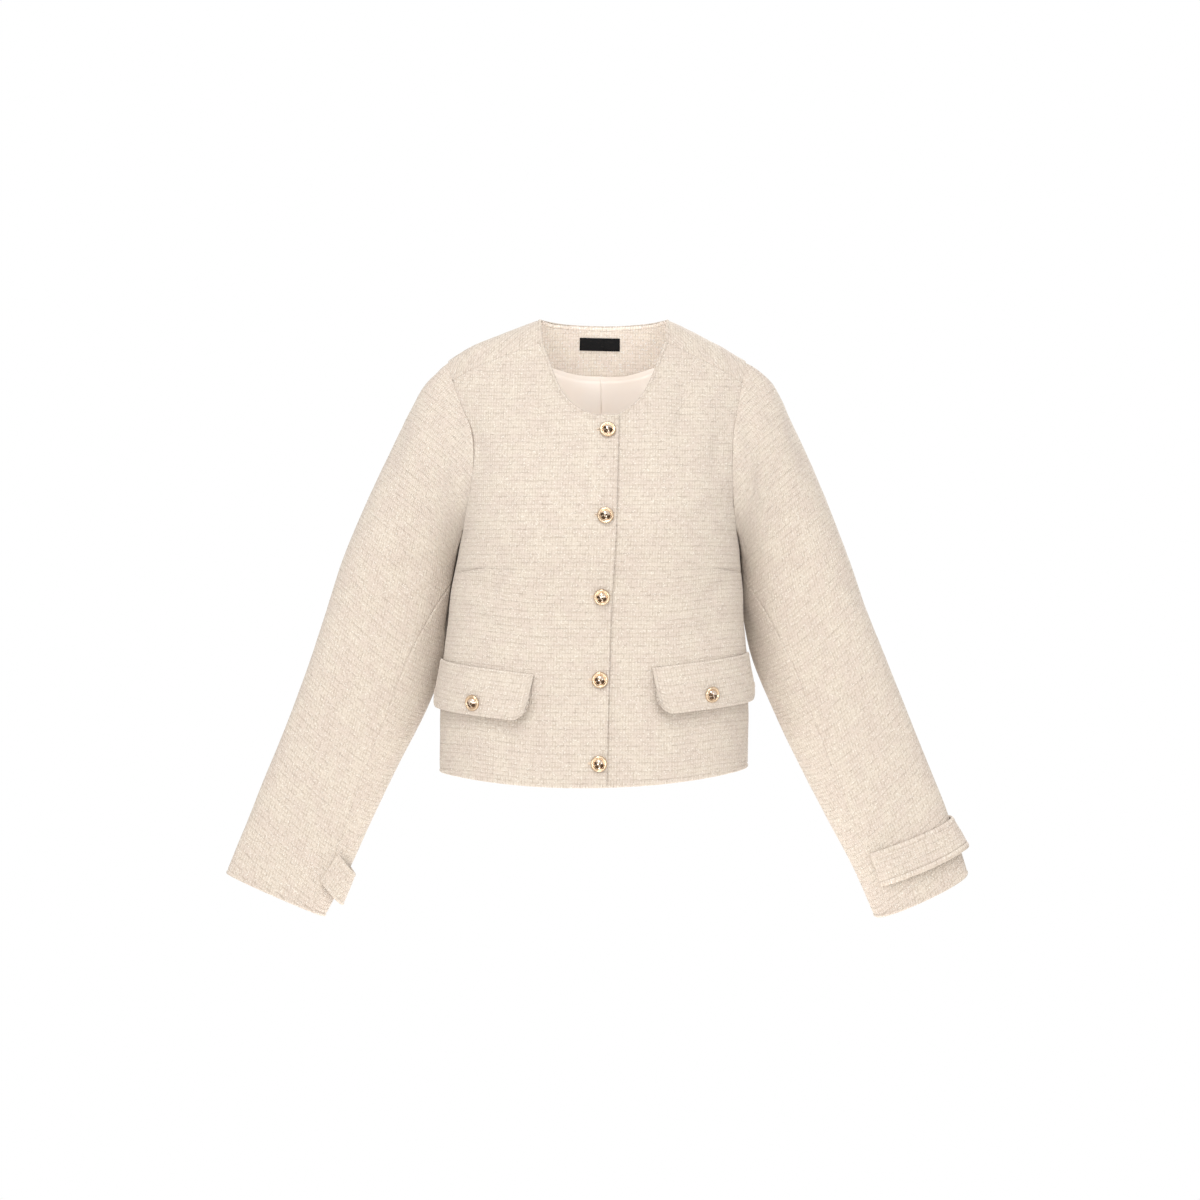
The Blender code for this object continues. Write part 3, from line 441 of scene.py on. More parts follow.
BACK_FOLDS = (
    (-112, -96, -104, -236, 15, 2.6), (108, -104, 98, -222, 16, 2.2), (-58, -300, -72, -440, 20, 2.0),
    (66, -276, 58, -402, 18, 2.4),
)


def ridge_of(side, distance):
    """Height of the shoulder ridge at a distance from the middle."""
    right, left = np.moveaxis(ridge_heights(distance), -1, 0)
    return np.where(np.asarray(side) < 0, right, left)


def body_form(climb, behind):
    """Half width, depth and middle y of the body at a climb from the underarm level."""
    half, front, back = np.moveaxis(body_level(UNDERARM + np.minimum(climb, 0.0)), -1, 0)
    share = np.maximum(climb, 0.0) / RISE
    start, fullness = np.where(behind, 3.0, 1.6), np.where(behind, 1.4, 1.12)
    lean = np.maximum(1 - share**start, 0.0) ** (1 / (fullness + 0.6 * share**10))
    return half + SHOULDERS_WIDEN * share**1.2, np.where(behind, back, -front) * lean, 6.0 * (1 - lean)


def body(p, q):
    """A point of the body's outside."""
    behind = q > RISE
    climb = np.where(behind, 2 * RISE - q, q)
    half, deep, middle = body_form(climb, behind)
    across, along = section(p * pi / 2, BODY_ROUNDNESS)
    x, y = half * across, middle + deep * along
    z = UNDERARM + np.where(climb > 0, (ridge_of(x, abs(x)) - UNDERARM) * climb / RISE, climb)
    place = np.stack((x, z), -1)
    y = y + np.where(behind, -trough(BACK_FOLDS, place), trough(FRONT_FOLDS, place))
    z = z + SIDES_TILT * p * ease(0.0, 140.0, -climb)
    return np.stack((x + body_middle(z)[..., 0], y, z), -1)


def other_way(climb, behind):
    """A climb from the underarm level as the chart's q, or q as a climb."""
    return 2 * RISE - climb if behind else climb


def chart_of(side, distance, height, behind=False):
    """Chart place of a point from its distance from the middle and its height."""
    distance, climb = np.asarray(distance, float), np.asarray(height, float) - UNDERARM
    climb = np.where(climb > 0, climb * RISE / (ridge_of(side, distance) - UNDERARM), climb)
    across = np.minimum(distance / body_form(climb, behind)[0], 1.0)
    along = (1 - across**BODY_ROUNDNESS) ** (1 / BODY_ROUNDNESS)
    p = side * np.arctan2(across, along) / (pi / 2)
    return np.stack(np.broadcast_arrays(p, other_way(climb, behind)), -1)


def normal_of(form, u, v, step=(0.002, 0.4)):
    """Direction straight out of a form."""
    across = form(u + step[0], v) - form(u - step[0], v)
    normal = np.cross(across, form(u, v + step[1]) - form(u, v - step[1]))
    return normal / np.linalg.norm(normal, axis=-1, keepdims=True)


def on_body(chart):
    """Points of the body's outside and the directions straight out of it, at places of its chart."""
    p, q = chart[..., 0], chart[..., 1]
    return body(p, q), normal_of(body, p, q)


print("chest point:", body(np.array(0.3), np.array(20.0)).round(1))

# %% [markdown]
# Each sleeve is sewn into an armhole. On the real jacket that is a cut in the flat panels, so here it is a
# curve on the body's chart, one part in front and one behind, which the panels and the sleeves both follow.
# The two armholes differ a little, because the wearer's left shoulder hangs lower.

# %% The armholes
ARMHOLE_FRONT = (
    (-246, 156.5, 156.5), (-228, 154.0, 153.5), (-183, 147.0, 149.5), (-161, 146.0, 149.0),
    (-128, 150.0, 150.0), (-105, 160.0, 154.0),
)
ARMHOLE_BACK = ((-246, 157.5), (-228, 157.0), (-183, 158.5), (-140, 162.0), (-100, 166.5), (-72, 169.0))
ARMHOLE_SEAM, ARMHOLE_TOP = (173.0, 159.5), (179.0, 164.0)
SIDES = ((-1, "right"), (1, "left"))
COLUMN = {-1: 0, 1: 1}  # in tables with a number for each side, the right one comes first
QUARTER = 225.0  # length of cloth from the front's middle to a side seam
SHOULDER_DROP = 28.0  # how far the shoulder seam lies below the ridge


def path(points):
    """Give a smooth curve through chart points, as a function of 0 to 1, and each point's share of its
    length."""
    points = np.array(points, float)
    steps = np.hypot(*(np.diff(points, axis=0) * (QUARTER, 1.0)).T)
    shares = np.concatenate(([0.0], np.cumsum(steps))) / steps.sum()
    return smooth([(share, *point) for share, point in zip(shares, points)]), shares


def seam_place(side, distance):
    """Chart place of a point of the shoulder seam."""
    return chart_of(side, distance, ridge_of(side, distance) - SHOULDER_DROP)


def back_line(side, places):
    """Chart places on the back of a line that starts in its middle."""
    start = chart_of(side, 0.0, places[0][1], behind=True)
    return [(0.0, start[1])] + [chart_of(side, *place, behind=True) for place in places[1:]]


def armhole(side):
    """Front and back curves of an armhole, the share of each at which it turns up from under the arm, and the
    share of the front one at the shoulder seam."""
    column = COLUMN[side]
    front = [(side * 1.0, 0.0), (side * 0.93, 1.0)]
    front += [chart_of(side, distances[column], height) for height, *distances in ARMHOLE_FRONT]
    front.append(seam_place(side, ARMHOLE_SEAM[column]))
    front.append(chart_of(side, ARMHOLE_TOP[column], ridge_of(side, ARMHOLE_TOP[column])))
    back = [(side * 1.0, 2 * RISE), (side * 0.94, 2 * RISE - 1.0)]
    back += [chart_of(side, distance, height, behind=True) for height, distance in ARMHOLE_BACK]
    back.append(front[-1])
    front_curve, front_shares = path(front)
    back_curve, back_shares = path(back)
    return front_curve, front_shares[2], back_curve, back_shares[2], front_shares[-2]


ARMHOLES = {side: armhole(side) for side, _ in SIDES}


def sewn_place(side, turn):
    """Place on the body's chart where a sleeve is sewn in, at a turn round the sleeve."""
    front, _, back, _, _ = ARMHOLES[side]
    place = np.where((turn >= 0)[..., None], front(1 - turn / pi), back(1 + turn / pi))
    return np.moveaxis(place, -1, 0)


print("right armhole, at its outer end:", body(*sewn_place(-1, np.array(0.0))).round(1))

# %% [markdown]
# The second form is a sleeve: a row of oval rings from the armhole down to the cuff. A turn of 0 is its
# outer edge, plus goes to the front, and a share of 0 is the armhole, 1 the upper arm and 2 the cuff. Near
# the armhole the rings ease into the armhole's curve, and where the sleeve would sink into the body's side
# it is pushed out to lie on it.

# %% The sleeve's form
SLEEVE_RINGS = (  # share; outer edge right, left, height; inner edge right, left, height; both y; depth
    (0.12, 186.3, 184.0, -58.7, 159.6, 159.2, -255.0, 6, 2, 49),
    (0.25, 200.0, 198.0, -72.5, 160.0, 159.8, -261.0, 6, 5, 52),
    (0.45, 216.0, 212.8, -100.0, 160.3, 160.3, -269.0, 6, 10, 54),
    (0.62, 230.0, 225.4, -127.7, 160.6, 160.8, -277.0, 7, 16, 55),
    (0.80, 246.0, 241.0, -162.0, 161.2, 161.2, -287.0, 8, 22, 55),
    (1.00, 270.3, 263.0, -214.0, 162.0, 162.0, -302.0, 9, 29, 53),
    (1.14, 295.5, 285.8, -273.7, 165.0, 164.5, -335.0, 10, 35, 50),
    (1.29, 316.3, 308.8, -338.0, 177.0, 176.0, -390.0, 10, 36, 45),
    (1.44, 338.0, 334.8, -403.6, 203.6, 203.0, -456.0, 10, 32, 40),
    (1.58, 360.0, 358.5, -463.5, 233.2, 230.6, -514.0, 8, 25, 34),
    (1.72, 384.0, 382.0, -522.0, 261.0, 260.4, -572.0, 4, 17, 28),
    (1.87, 408.2, 405.6, -583.0, 288.6, 292.5, -633.0, -2, 8, 21),
    (2.00, 429.0, 422.2, -636.8, 316.8, 316.0, -687.2, -8, 2, 15),
)
SLEEVE_FOLDS = (  # degrees round, share along, to the same, width, depth
    (58, 0.10, 92, 0.96, 13, 3.0), (98, 1.05, 60, 1.34, 14, 2.6), (86, 1.42, 40, 1.62, 13, 1.8),
    (-62, 0.16, -96, 0.98, 14, 2.8), (-104, 1.08, -58, 1.40, 14, 2.4), (-80, 1.50, -44, 1.74, 12, 1.6),
)
SLEEVE_SCALE = (0.8, 330.0)  # millimetres to a degree of turn and to a share along
SLEEVE_ROUNDNESS, PUSHED_BELOW = 2.2, -215.0
CUFF_HANGS = {-1: 1.0, 1: 7.0}  # how much lower a cuff's front hangs than its back


def within(turn):
    """The same turn, counted from minus to plus half a round."""
    return (turn + pi) % (2 * pi) - pi


def sleeve_rings(side):
    """A sleeve's table: outer edge, inner edge and depth at a share along."""
    column = COLUMN[side]
    top, bottom = body(*sewn_place(side, np.array(0.0))), body(np.array(float(side)), np.array(0.0))
    rows = [(0.0, side * top[0], top[1], top[2], side * bottom[0], bottom[1], bottom[2], 47.0)]
    for share, *row in SLEEVE_RINGS:
        rows.append((share, row[column], row[6], row[2], row[3 + column], row[7], row[5], row[8]))
    return smooth(rows)


SLEEVES = {side: sleeve_rings(side) for side, _ in SIDES}


def plain_ring(side, turn, share):
    """A point of a sleeve's ring, before it eases into the armhole."""
    row = SLEEVES[side](share)
    outer, inner, depth = row[..., 0:3], row[..., 3:6], row[..., 6]
    forward, out = section(turn, SLEEVE_ROUNDNESS)
    point = (outer + inner) / 2 + (outer - inner) / 2 * out[..., None]
    point[..., 1] -= depth * forward
    hang = CUFF_HANGS[side] * forward * ease(1.5, 2.0, share)
    return (point + np.array((0.4, 0, -0.92)) * hang[..., None]) * (side, 1, 1)


def keep_clear(side, point, clearance):
    """Push points out of the body's side."""
    x, y, z = np.moveaxis(point, -1, 0)
    middle_x = body_middle(z)[..., 0]
    climb = chart_of(side, 100.0, z)[..., 1]
    half, deep, middle_y = body_form(climb, y > 0)
    half, deep = half + clearance, abs(deep) + clearance
    off_x, off_y = x - middle_x, y - middle_y
    reach = abs(off_x / half) ** BODY_ROUNDNESS + abs(off_y / deep) ** BODY_ROUNDNESS
    inside = (z <= PUSHED_BELOW) & (reach < 1)
    push = np.where(inside, np.maximum(reach, 1e-6) ** (-1 / BODY_ROUNDNESS), 1.0)
    return np.stack((middle_x + off_x * push, middle_y + off_y * push, z), -1)


def sleeve(side, turn, share):
    """A point of a sleeve's outside."""
    turn = within(turn)
    point = plain_ring(side, turn, share)
    sewn = body(*sewn_place(side, turn)) - plain_ring(side, turn, np.zeros_like(share))
    point = point + sewn * (np.maximum(1 - share, 0.0) ** 2)[..., None]
    fold = trough(SLEEVE_FOLDS, np.stack(np.broadcast_arrays(turn * 180 / pi, share), -1), SLEEVE_SCALE)
    point[..., 1] += fold * np.sign(turn)
    clearance = (0.3 + 1.3 * ease(0.0, 0.5, share)) * ease(-0.01, 0.03, share)
    return keep_clear(side, point, clearance)


def sleeve_normal(side, turn, share):
    """The sleeve's outward direction. At the armhole it is the body's, so both edges lie side by side."""
    turn = within(turn)
    own = normal_of(lambda u, v: sleeve(side, u, v), turn, np.maximum(share, 0.02), (0.01, 0.005)) * side
    sewn = normal_of(body, *sewn_place(side, turn))
    near = (1 - ease(0.0, 0.16, share)) * (1 - ease(radians(95), radians(145), abs(turn)))
    normal = mix(own, sewn, near[..., None])
    return normal / np.linalg.norm(normal, axis=-1, keepdims=True)


print("left cuff, outer edge:", sleeve(1, np.array(0.0), np.array(2.0)).round(1))

# %% [markdown]
# Cloth is a thin sheet, so each piece starts as a flat grid from `create_grid`, whose corners are then set
# on the form. The steps are close together near the edges, because that is where tailoring shows: a sewn
# edge sinks into a ditch beside its neighbour, and a free edge is rolled over, with a soft ridge where the
# turning lies inside and a faint groove where that ends. The Solidify modifier then gives the sheet its
# thickness. The weave map is measured along the cloth in metres, so the tweed keeps its size on every
# piece.

# %% Laying cloth on a form
from mathutils.kdtree import KDTree

STEP = 3.0  # millimetres between the middle rows of a sheet
NEAR_EDGE = (0.0, 0.35, 0.8, 1.3, 1.9, 2.6, 3.3, 3.9, 4.5, 5.2, 6.2, 7.7)
LINE_STEP = 0.3  # millimetres between the points that stand for an edge
TWEED_WALL = 1.8
ARMHOLE_DITCH = 0.45  # the armhole's seam is pressed flat, so it lies less deep than the others


def spread(length, close=(True, True), step=STEP):
    """Shares from 0 to 1 along a length, close together at the ends that ask for it."""
    near = np.array(NEAR_EDGE)
    start = near if close[0] else near[:1]
    end = length - (near if close[1] else near[:1])[::-1]
    count = max(int(round((end[0] - start[-1]) / step)), 1)
    return np.concatenate((start, np.linspace(start[-1], end[0], count + 1)[1:-1], end)) / length


def away_from(points, line):
    """Distance of points from a line of places."""
    line = line[~np.isnan(line[:, 0])]
    lengths = np.concatenate(([0.0], np.cumsum(np.linalg.norm(np.diff(line, axis=0), axis=1))))
    places = np.linspace(0, lengths[-1], max(int(lengths[-1] / LINE_STEP), 2))
    tree = KDTree(len(places))
    dense = np.stack([np.interp(places, lengths, line[:, axis]) for axis in range(3)], -1)
    for number, place in enumerate(dense):
        tree.insert(place, number)
    tree.balance()
    flat = points.reshape(-1, 3)
    found = [np.nan if np.isnan(point[0]) else tree.find(point)[2] for point in flat]
    return np.array(found).reshape(points.shape[:-1])


def sewn_edge(away):
    """Height of cloth beside a seam."""
    return 0.16 * hump(away, 3.4, 1.6) - 0.6 * hump(away, 0.0, 1.05)


def free_edge(away):
    """Height of cloth beside a turned edge."""
    rolled = -0.8 * np.maximum(1 - away / 1.2, 0.0) ** 2
    return rolled + 0.55 * hump(away, 2.1, 1.3) - 0.50 * hump(away, 4.6, 0.75)


def uneven(place, size, seed, waves=7):
    """The slight waviness of cloth, from a few crossing waves."""
    rng = np.random.default_rng(seed)
    height = 0.0
    for _ in range(waves):
        angle, phase = rng.uniform(0, pi), rng.uniform(0, 2 * pi)
        length = size * rng.uniform(0.6, 1.7)
        along = place[..., 0] * np.cos(angle) + place[..., 1] * np.sin(angle)
        height = height + np.sin(along * 2 * pi / length + phase)
    return height / waves


def slack(place, broad_seed, fine_seed):
    """Waviness in two sizes, as on all of this jacket's cloth."""
    return 0.35 * uneven(place, 46.0, broad_seed) + 0.12 * uneven(place, 13.0, fine_seed)


def middle_of(grid):
    return grid[grid.shape[0] // 2, grid.shape[1] // 2]


def add_piece(name, mesh, *materials):
    """Put a finished mesh into the scene, where it rides on the one body."""
    data = bpy.data.meshes.new(name)
    mesh.to_mesh(data)
    mesh.free()
    data.shade_smooth()
    for material in materials:
        data.materials.append(material)
    piece = bpy.data.objects.new(name, data)
    scene.collection.objects.link(piece)
    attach(piece, "root")
    return piece


def lay_sheets(name, sheets, material, wall, outward):
    """Make one piece of cloth from grids of points in millimetres, each with its weave map. Points that are
    NaN are left out."""
    mesh = bmesh.new()
    weave_layer = mesh.loops.layers.uv.new("weave")
    for points, weave in sheets:
        rows, columns = points.shape[0] - 1, points.shape[1] - 1
        made = bmesh.ops.create_grid(mesh, x_segments=columns, y_segments=rows, size=1.0)["verts"]
        spots = {v: (round((v.co.y + 1) / 2 * rows), round((v.co.x + 1) / 2 * columns)) for v in made}
        empty = [v for v, spot in spots.items() if np.isnan(points[spot][0])]
        faces = {face for v in made for face in v.link_faces}
        for face in faces:
            for loop in face.loops:
                loop[weave_layer].uv = Vector(weave[spots[loop.vert]]) * MM
        for v, spot in spots.items():
            if not np.isnan(points[spot][0]):
                v.co = Vector(points[spot] + (0, 0, NECK_TOP)) * MM
        bmesh.ops.delete(mesh, geom=empty, context="VERTS")
    if len(sheets) > 1:
        bmesh.ops.remove_doubles(mesh, verts=mesh.verts[:], dist=0.01 * MM)
    mesh.normal_update()
    first = mesh.faces[:][len(mesh.faces) // 2]
    if first.normal.dot(Vector(outward)) < 0:
        bmesh.ops.reverse_faces(mesh, faces=mesh.faces[:])
    piece = add_piece(name, mesh, material)
    thick = piece.modifiers.new("thickness", "SOLIDIFY")
    thick.thickness, thick.offset = wall * MM, -1.0
    flat = np.concatenate([weave[~np.isnan(points[..., 0])] for points, weave in sheets])
    wide, long = np.ptp(flat, axis=0)
    faces = piece.data.polygons
    area = sum(face.area for face in faces)
    print(f"{name}: {len(faces)} faces, {wide:.0f} x {long:.0f} mm, {area:.4f} square metres")
    return piece


def sew_on(node):
    """Let a sheet stand for its solid piece, which is hidden."""
    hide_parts(node)


print("height of a turned edge 0, 2 and 5 mm in:", free_edge(np.array((0.0, 2.0, 5.0))).round(2))

# %% [markdown]
# A tweed maker measures cloth along its threads, so the weave's map needs real lengths. Both directions of
# the body's chart are added up in small steps once, and each panel then reads its own part of the tables.

# %% The weave's map on the body
P_TABLE, Q_TABLE = np.linspace(-1.15, 1.15, 93), np.linspace(-300.0, 2 * RISE + 300.0, 401)


def added_up(points, axis):
    """Length of cloth from the first point of each row or column to every point."""
    first = np.take(points, [0], axis)
    return np.cumsum(np.linalg.norm(np.diff(points, axis=axis, prepend=first), axis=-1), axis=axis)


table_points = body(*np.meshgrid(P_TABLE, Q_TABLE))
round_body, over_body = added_up(table_points, 1), added_up(table_points, 0)
round_body -= round_body[:, [len(P_TABLE) // 2]]
np.seterr(invalid="ignore")  # the places that a panel leaves out are NaN


def read_table(table, p, q):
    """Read a table of the body's chart between its steps."""
    column = np.clip((p - P_TABLE[0]) / (P_TABLE[1] - P_TABLE[0]), 0, len(P_TABLE) - 1.001)
    row = np.clip((q - Q_TABLE[0]) / (Q_TABLE[1] - Q_TABLE[0]), 0, len(Q_TABLE) - 1.001)
    i, j = np.nan_to_num(row).astype(int), np.nan_to_num(column).astype(int)
    a, b = row - i, column - j
    return mix(mix(table[i, j], table[i, j + 1], b), mix(table[i + 1, j], table[i + 1, j + 1], b), a)


def body_weave(chart, behind=False):
    """The weave's map in millimetres, counted up from the underarm level."""
    p, q = chart[..., 0], chart[..., 1]
    climb = read_table(over_body, p, q) - read_table(over_body, p, np.full_like(p, other_way(0.0, behind)))
    return np.stack((read_table(round_body, p, q), -climb if behind else climb), -1)


print("from a front's middle to its side seam:", body_weave(np.array((1.0, 0.0))).round(1)[0], "mm")

# %% [markdown]
# A panel is one flat piece of the body. A front is cut along its front edge, the round neck, the shoulder
# seam, the armhole and the side seam, and half of the back along the same lines from behind. A panel's grid
# has columns from the inner edge to the armhole, with a few more that end under the arm, and rows from the
# hem up, so that its borders are the real cutting lines and not a mask on a larger sheet.

# %% The shape of a panel
HEM_FRONT, HEM_SIDE, HEM_BACK = -534.0, -517.5, -521.0
NECK_FRONT = (  # distance from the middle, height
    (0, -115), (12, -112.5), (25.5, -106), (38.5, -96), (46.5, -85), (54, -70), (61.5, -50),
)
NECK_BACK = ((0, -5), (30, -4.2), (55, -2.4), (72, 0))
NECK_SEAM_END = 70.0
FRONT_REACH = {-1: (18.5, 14.0), 1: (16.0, 16.0)}  # past the middle, at the underarm level and at the hem
FRONT_LONG, BACK_LONG, DART_ROWS = 284, 271, (0.112, 0.160)
ACROSS, UNDER = spread(167), spread(46)  # to the armhole, and on from there under the arm
FRONT_UP, BACK_UP = spread(136, (False, True)), spread(240, (False, True))  # to the neck's lowest point


def close_rows(shares, start, end, step):
    """Put close rows between two shares."""
    kept = shares[(shares < start - step / 2) | (shares > end + step / 2)]
    return np.sort(np.concatenate((kept, np.arange(start, end, step))))


BELOW_FRONT = close_rows(spread(FRONT_LONG), *DART_ROWS, 0.8 / FRONT_LONG)[::-1]
BELOW_BACK = spread(BACK_LONG)[::-1]


def down_to_hem(top, down, hem, behind):
    """Chart rows from a row at the underarm level down to the hem."""
    p = top[:, 0]
    across = section(p * pi / 2, BODY_ROUNDNESS)[0]
    drop = UNDERARM - hem - (HEM_SIDE - hem) * across * across
    climb = mix(other_way(top[:, 1], behind), -drop, down[:, None])
    return np.stack((np.broadcast_to(p, climb.shape), other_way(climb, behind)), -1)


def panel_grid(inner, outer, under, behind, hem, below):
    """Chart grid of a panel. inner and outer are its edges above the underarm level, under is the armhole's
    part that comes down to the side seam, and below are the shares down to the hem."""
    beside = mix(inner[:, None], outer[:, None], ACROSS[None, :, None])
    gap = np.full((len(inner) - 1, len(under) - 1, 2), np.nan)
    above = np.concatenate((beside, np.concatenate((under[None, 1:], gap))), axis=1)
    return np.concatenate((down_to_hem(above[0], below, hem, behind)[:-1], above))


def joined(first, second, part=6 / 14):
    """Shares of a line in two parts, of which the first one takes up a part of its length."""
    return np.concatenate((first * part, part + second[1:] * (1 - part)))


def front_grid(side):
    """Chart grid of a front."""
    arm, turn, _, _, seam = ARMHOLES[side]
    reach, hem_reach = FRONT_REACH[side]
    corner = chart_of(-side, reach, NECK_FRONT[0][1] + 1.5)
    neck = [corner] + [chart_of(side, *place) for place in NECK_FRONT[1:]]
    neck.append(seam_place(side, NECK_SEAM_END))
    opening, along = path([chart_of(-side, reach, UNDERARM), corner])[0], spread(132)
    inner = np.concatenate((opening(FRONT_UP), path(neck)[0](along[1:])))
    outer = arm(mix(turn, seam, joined(FRONT_UP, along)))
    grid = panel_grid(inner, outer, arm(turn * (1 - UNDER)), False, HEM_FRONT, BELOW_FRONT)
    down = BELOW_FRONT[:-1]
    below = grid[: len(down)]
    edge = chart_of(-side, mix(reach, hem_reach, down), mix(UNDERARM, HEM_FRONT, down))
    below[..., 0] += (edge[:, :1] - below[:, :1, 0]) * (1 - abs(below[..., 0])) ** 2
    return grid


def back_grid(side):
    """Chart grid of one half of the back, which goes over the shoulder to the seam in front of it."""
    front_arm, _, arm, turn, seam = ARMHOLES[side]
    neck = back_line(side, NECK_BACK)
    over = [neck[-1], chart_of(side, 71.0, -15.0), seam_place(side, NECK_SEAM_END)]
    along, forward = spread(74), spread(30, (False, True))[1:]
    up_the_middle = path([(0.0, 2 * RISE), neck[0]])[0]
    inner = np.concatenate((up_the_middle(BACK_UP), path(neck)[0](along[1:]), path(over)[0](forward)))
    outer = arm(mix(turn, 1.0, joined(BACK_UP, along)))
    outer = np.concatenate((outer, front_arm(1 + (seam - 1) * forward)))
    return panel_grid(inner, outer, arm(turn * (1 - UNDER)), True, HEM_BACK, BELOW_BACK)


def panel_edges(below, up):
    """A panel's boundary as index pairs: its opening, the neck and the hem, and its sewn side, armhole and
    shoulder, each with the share of a seam's full depth."""
    armhole, low = len(ACROSS) - 1, len(below) - 1
    sewn = [((slice(0, low + 1), -1), 1.0), ((low, slice(armhole, None)), 1.0)]
    sewn += [((slice(low, None), armhole), ARMHOLE_DITCH), ((-1, slice(0, armhole + 1)), 1.0)]
    return (slice(None), 0), (slice(low + len(up) - 1, None), 0), (0, slice(None)), sewn


print("rows and columns of a front:", front_grid(1).shape[:2])

# %% [markdown]
# The right front lies over the left one and is buttoned to it. A short bust dart runs in from each side
# seam, and each button draws the cloth in a little. Creases are soft troughs listed one by one, uneven in
# length, depth and spacing as on a worn jacket, because creases from noise alone look like crumpled paper.

# %% The fronts
FRONT_CREASES = (  # from the distance from the middle and the height, to the same, width, depth
    (-64, -60, -77, -192, 7, 1.2), (-108, -276, -124, -318, 8, 1.6), (-146, -110, -132, -176, 10, 1.5),
    (-90, -196, -128, -232, 12, 1.2), (-152, -300, -118, -316, 9, 1.4), (-150, -338, -96, -372, 12, 1.1),
    (-40, -330, -70, -352, 9, 0.9), (-28, -250, -62, -262, 9, 0.9), (-34, -158, -72, -176, 10, 0.8),
    (98, -82, 88, -136, 7, 1.2), (142, -122, 128, -186, 11, 1.6), (150, -206, 112, -232, 12, 1.2),
    (152, -304, 116, -322, 9, 1.5), (150, -346, 92, -366, 13, 1.2), (36, -272, 70, -290, 10, 0.8),
    (40, -186, 76, -202, 11, 0.8), (62, -470, 128, -498, 16, 1.4), (-60, -474, -132, -500, 15, 1.5),
    (-24, -372, -60, -386, 9, 0.8), (30, -368, 66, -382, 10, 0.8), (-150, -476, -158, -512, 9, 1.1),
    (-34, -428, -96, -462, 19, 2.2), (44, -424, 104, -452, 20, 2.0), (-52, -500, -96, -486, 12, 1.1),
    (-48, -128, -22, -208, 17, 1.5), (-150, -400, -132, -356, 14, 1.0),
)
DARTS = ((-131, -287, -163, -291, 0.9, 1.1), (131, -287, 163, -291, 0.9, 1.1))
BUTTON_HEIGHTS, BUTTON_PLACE = (-131.5, -228.5, -320.0, -413.0, -507.0), 5.9
BUTTON_PULLS = [(BUTTON_PLACE - 3, height, BUTTON_PLACE + 3, height, 12.0, 0.7) for height in BUTTON_HEIGHTS]
CREASES_DEEP = 1.6
DART_TAKES_UP = 9.0
NECK_RIDGE = 0.6  # added to the ridge of a turned edge where it goes round the neck
LIES_UNDER = {-1: 0.0, 1: 2.9}  # how far a front is set back where the other one lies over it


def cloth_height(place, creases):
    """How far worn cloth stands off its form: creases, and a slight waviness everywhere."""
    return slack(place, 3, 4) - CREASES_DEEP * trough(creases, place)


def lay_panel(grid, lift, creases, free, sewn, behind):
    """Points and weave map of a panel on the body."""
    points, normals = on_body(grid)
    x, z = points[..., 0], points[..., 2]
    height = lift + cloth_height(points[..., [0, 2]], creases)
    for edge_height, lines in ((free_edge, free), (sewn_edge, sewn)):
        for line, share in lines:
            height = height + share * edge_height(away_from(points, points[line]))
    weave = body_weave(grid, behind)
    if not behind:
        weave[..., 1] -= DART_TAKES_UP * ease(60, 170, abs(x)) * ease(-284, -292, z)
    return points + normals * height[..., None], weave


RIGHT_CREASES = [fold for fold in FRONT_CREASES + DARTS if fold[0] < 0] + BUTTON_PULLS
LEFT_CREASES = [fold for fold in FRONT_CREASES + DARTS if fold[0] > 0]


def make_front(side, word):
    grid = front_grid(side)
    opening, neck, hem, sewn = panel_edges(BELOW_FRONT, FRONT_UP)
    free = [(opening, 1.0), (hem, 1.0), (neck, NECK_RIDGE)]
    lift = -LIES_UNDER[side] * (1 - ease(0.10, 0.24, grid[..., 0]))
    sheet = lay_panel(grid, lift, RIGHT_CREASES if side < 0 else LEFT_CREASES, free, sewn, behind=False)
    piece = lay_sheets(f"front_{word}_cloth", [sheet], TWEED_FINISH, TWEED_WALL, (0, -1, 0))
    sew_on(f"front_{word}")


for side, word in SIDES:
    make_front(side, word)

# %% [markdown]
# The back is one wide piece. It goes over the shoulders and is sewn to the fronts a little before the
# ridge, and it has the same kind of creases: long soft ones from the shoulder blades, and slack across the
# waist.

# %% The back
BACK_CREASES = (
    (-104, -80, -100, -214, 9, 1.4), (100, -92, 96, -206, 9, 1.3), (-150, -120, -122, -190, 12, 1.5),
    (150, -128, 118, -182, 12, 1.6), (-24, -120, -32, -236, 15, 0.9), (34, -136, 30, -250, 14, 0.9),
    (-148, -262, -84, -292, 13, 1.5), (146, -270, 92, -300, 13, 1.5), (-120, -330, -52, -346, 14, 1.3),
    (112, -342, 40, -352, 15, 1.2), (-30, -286, 26, -300, 14, 0.9), (-64, -400, -80, -500, 14, 1.2),
    (58, -392, 72, -488, 13, 1.2), (-140, -420, -150, -500, 13, 1.1), (140, -430, 148, -506, 12, 1.1),
    (0, -380, 6, -470, 18, 0.8),
)


def make_back():
    _, neck, hem, sewn = panel_edges(BELOW_BACK, BACK_UP)
    sheets = []
    for side, _ in SIDES:
        free = [(neck, 1.0), (hem, 1.0)]
        points, weave = lay_panel(back_grid(side), 0.0, BACK_CREASES, free, sewn, behind=True)
        sheets.append((points[:, ::side], weave[:, ::side]))
    piece = lay_sheets("back_cloth", sheets, TWEED_FINISH, TWEED_WALL, (0, 1, 0))
    sew_on("back")


make_back()

# %% [markdown]
# A tailored sleeve is cut in two pieces, an upper and an under sleeve, so that it bends like an arm. The
# front seam lies inside, out of sight. Each piece is a grid between the two seams. Creases gather at the
# elbow, where the sleeve bends, and soft long ones run down from the armhole.

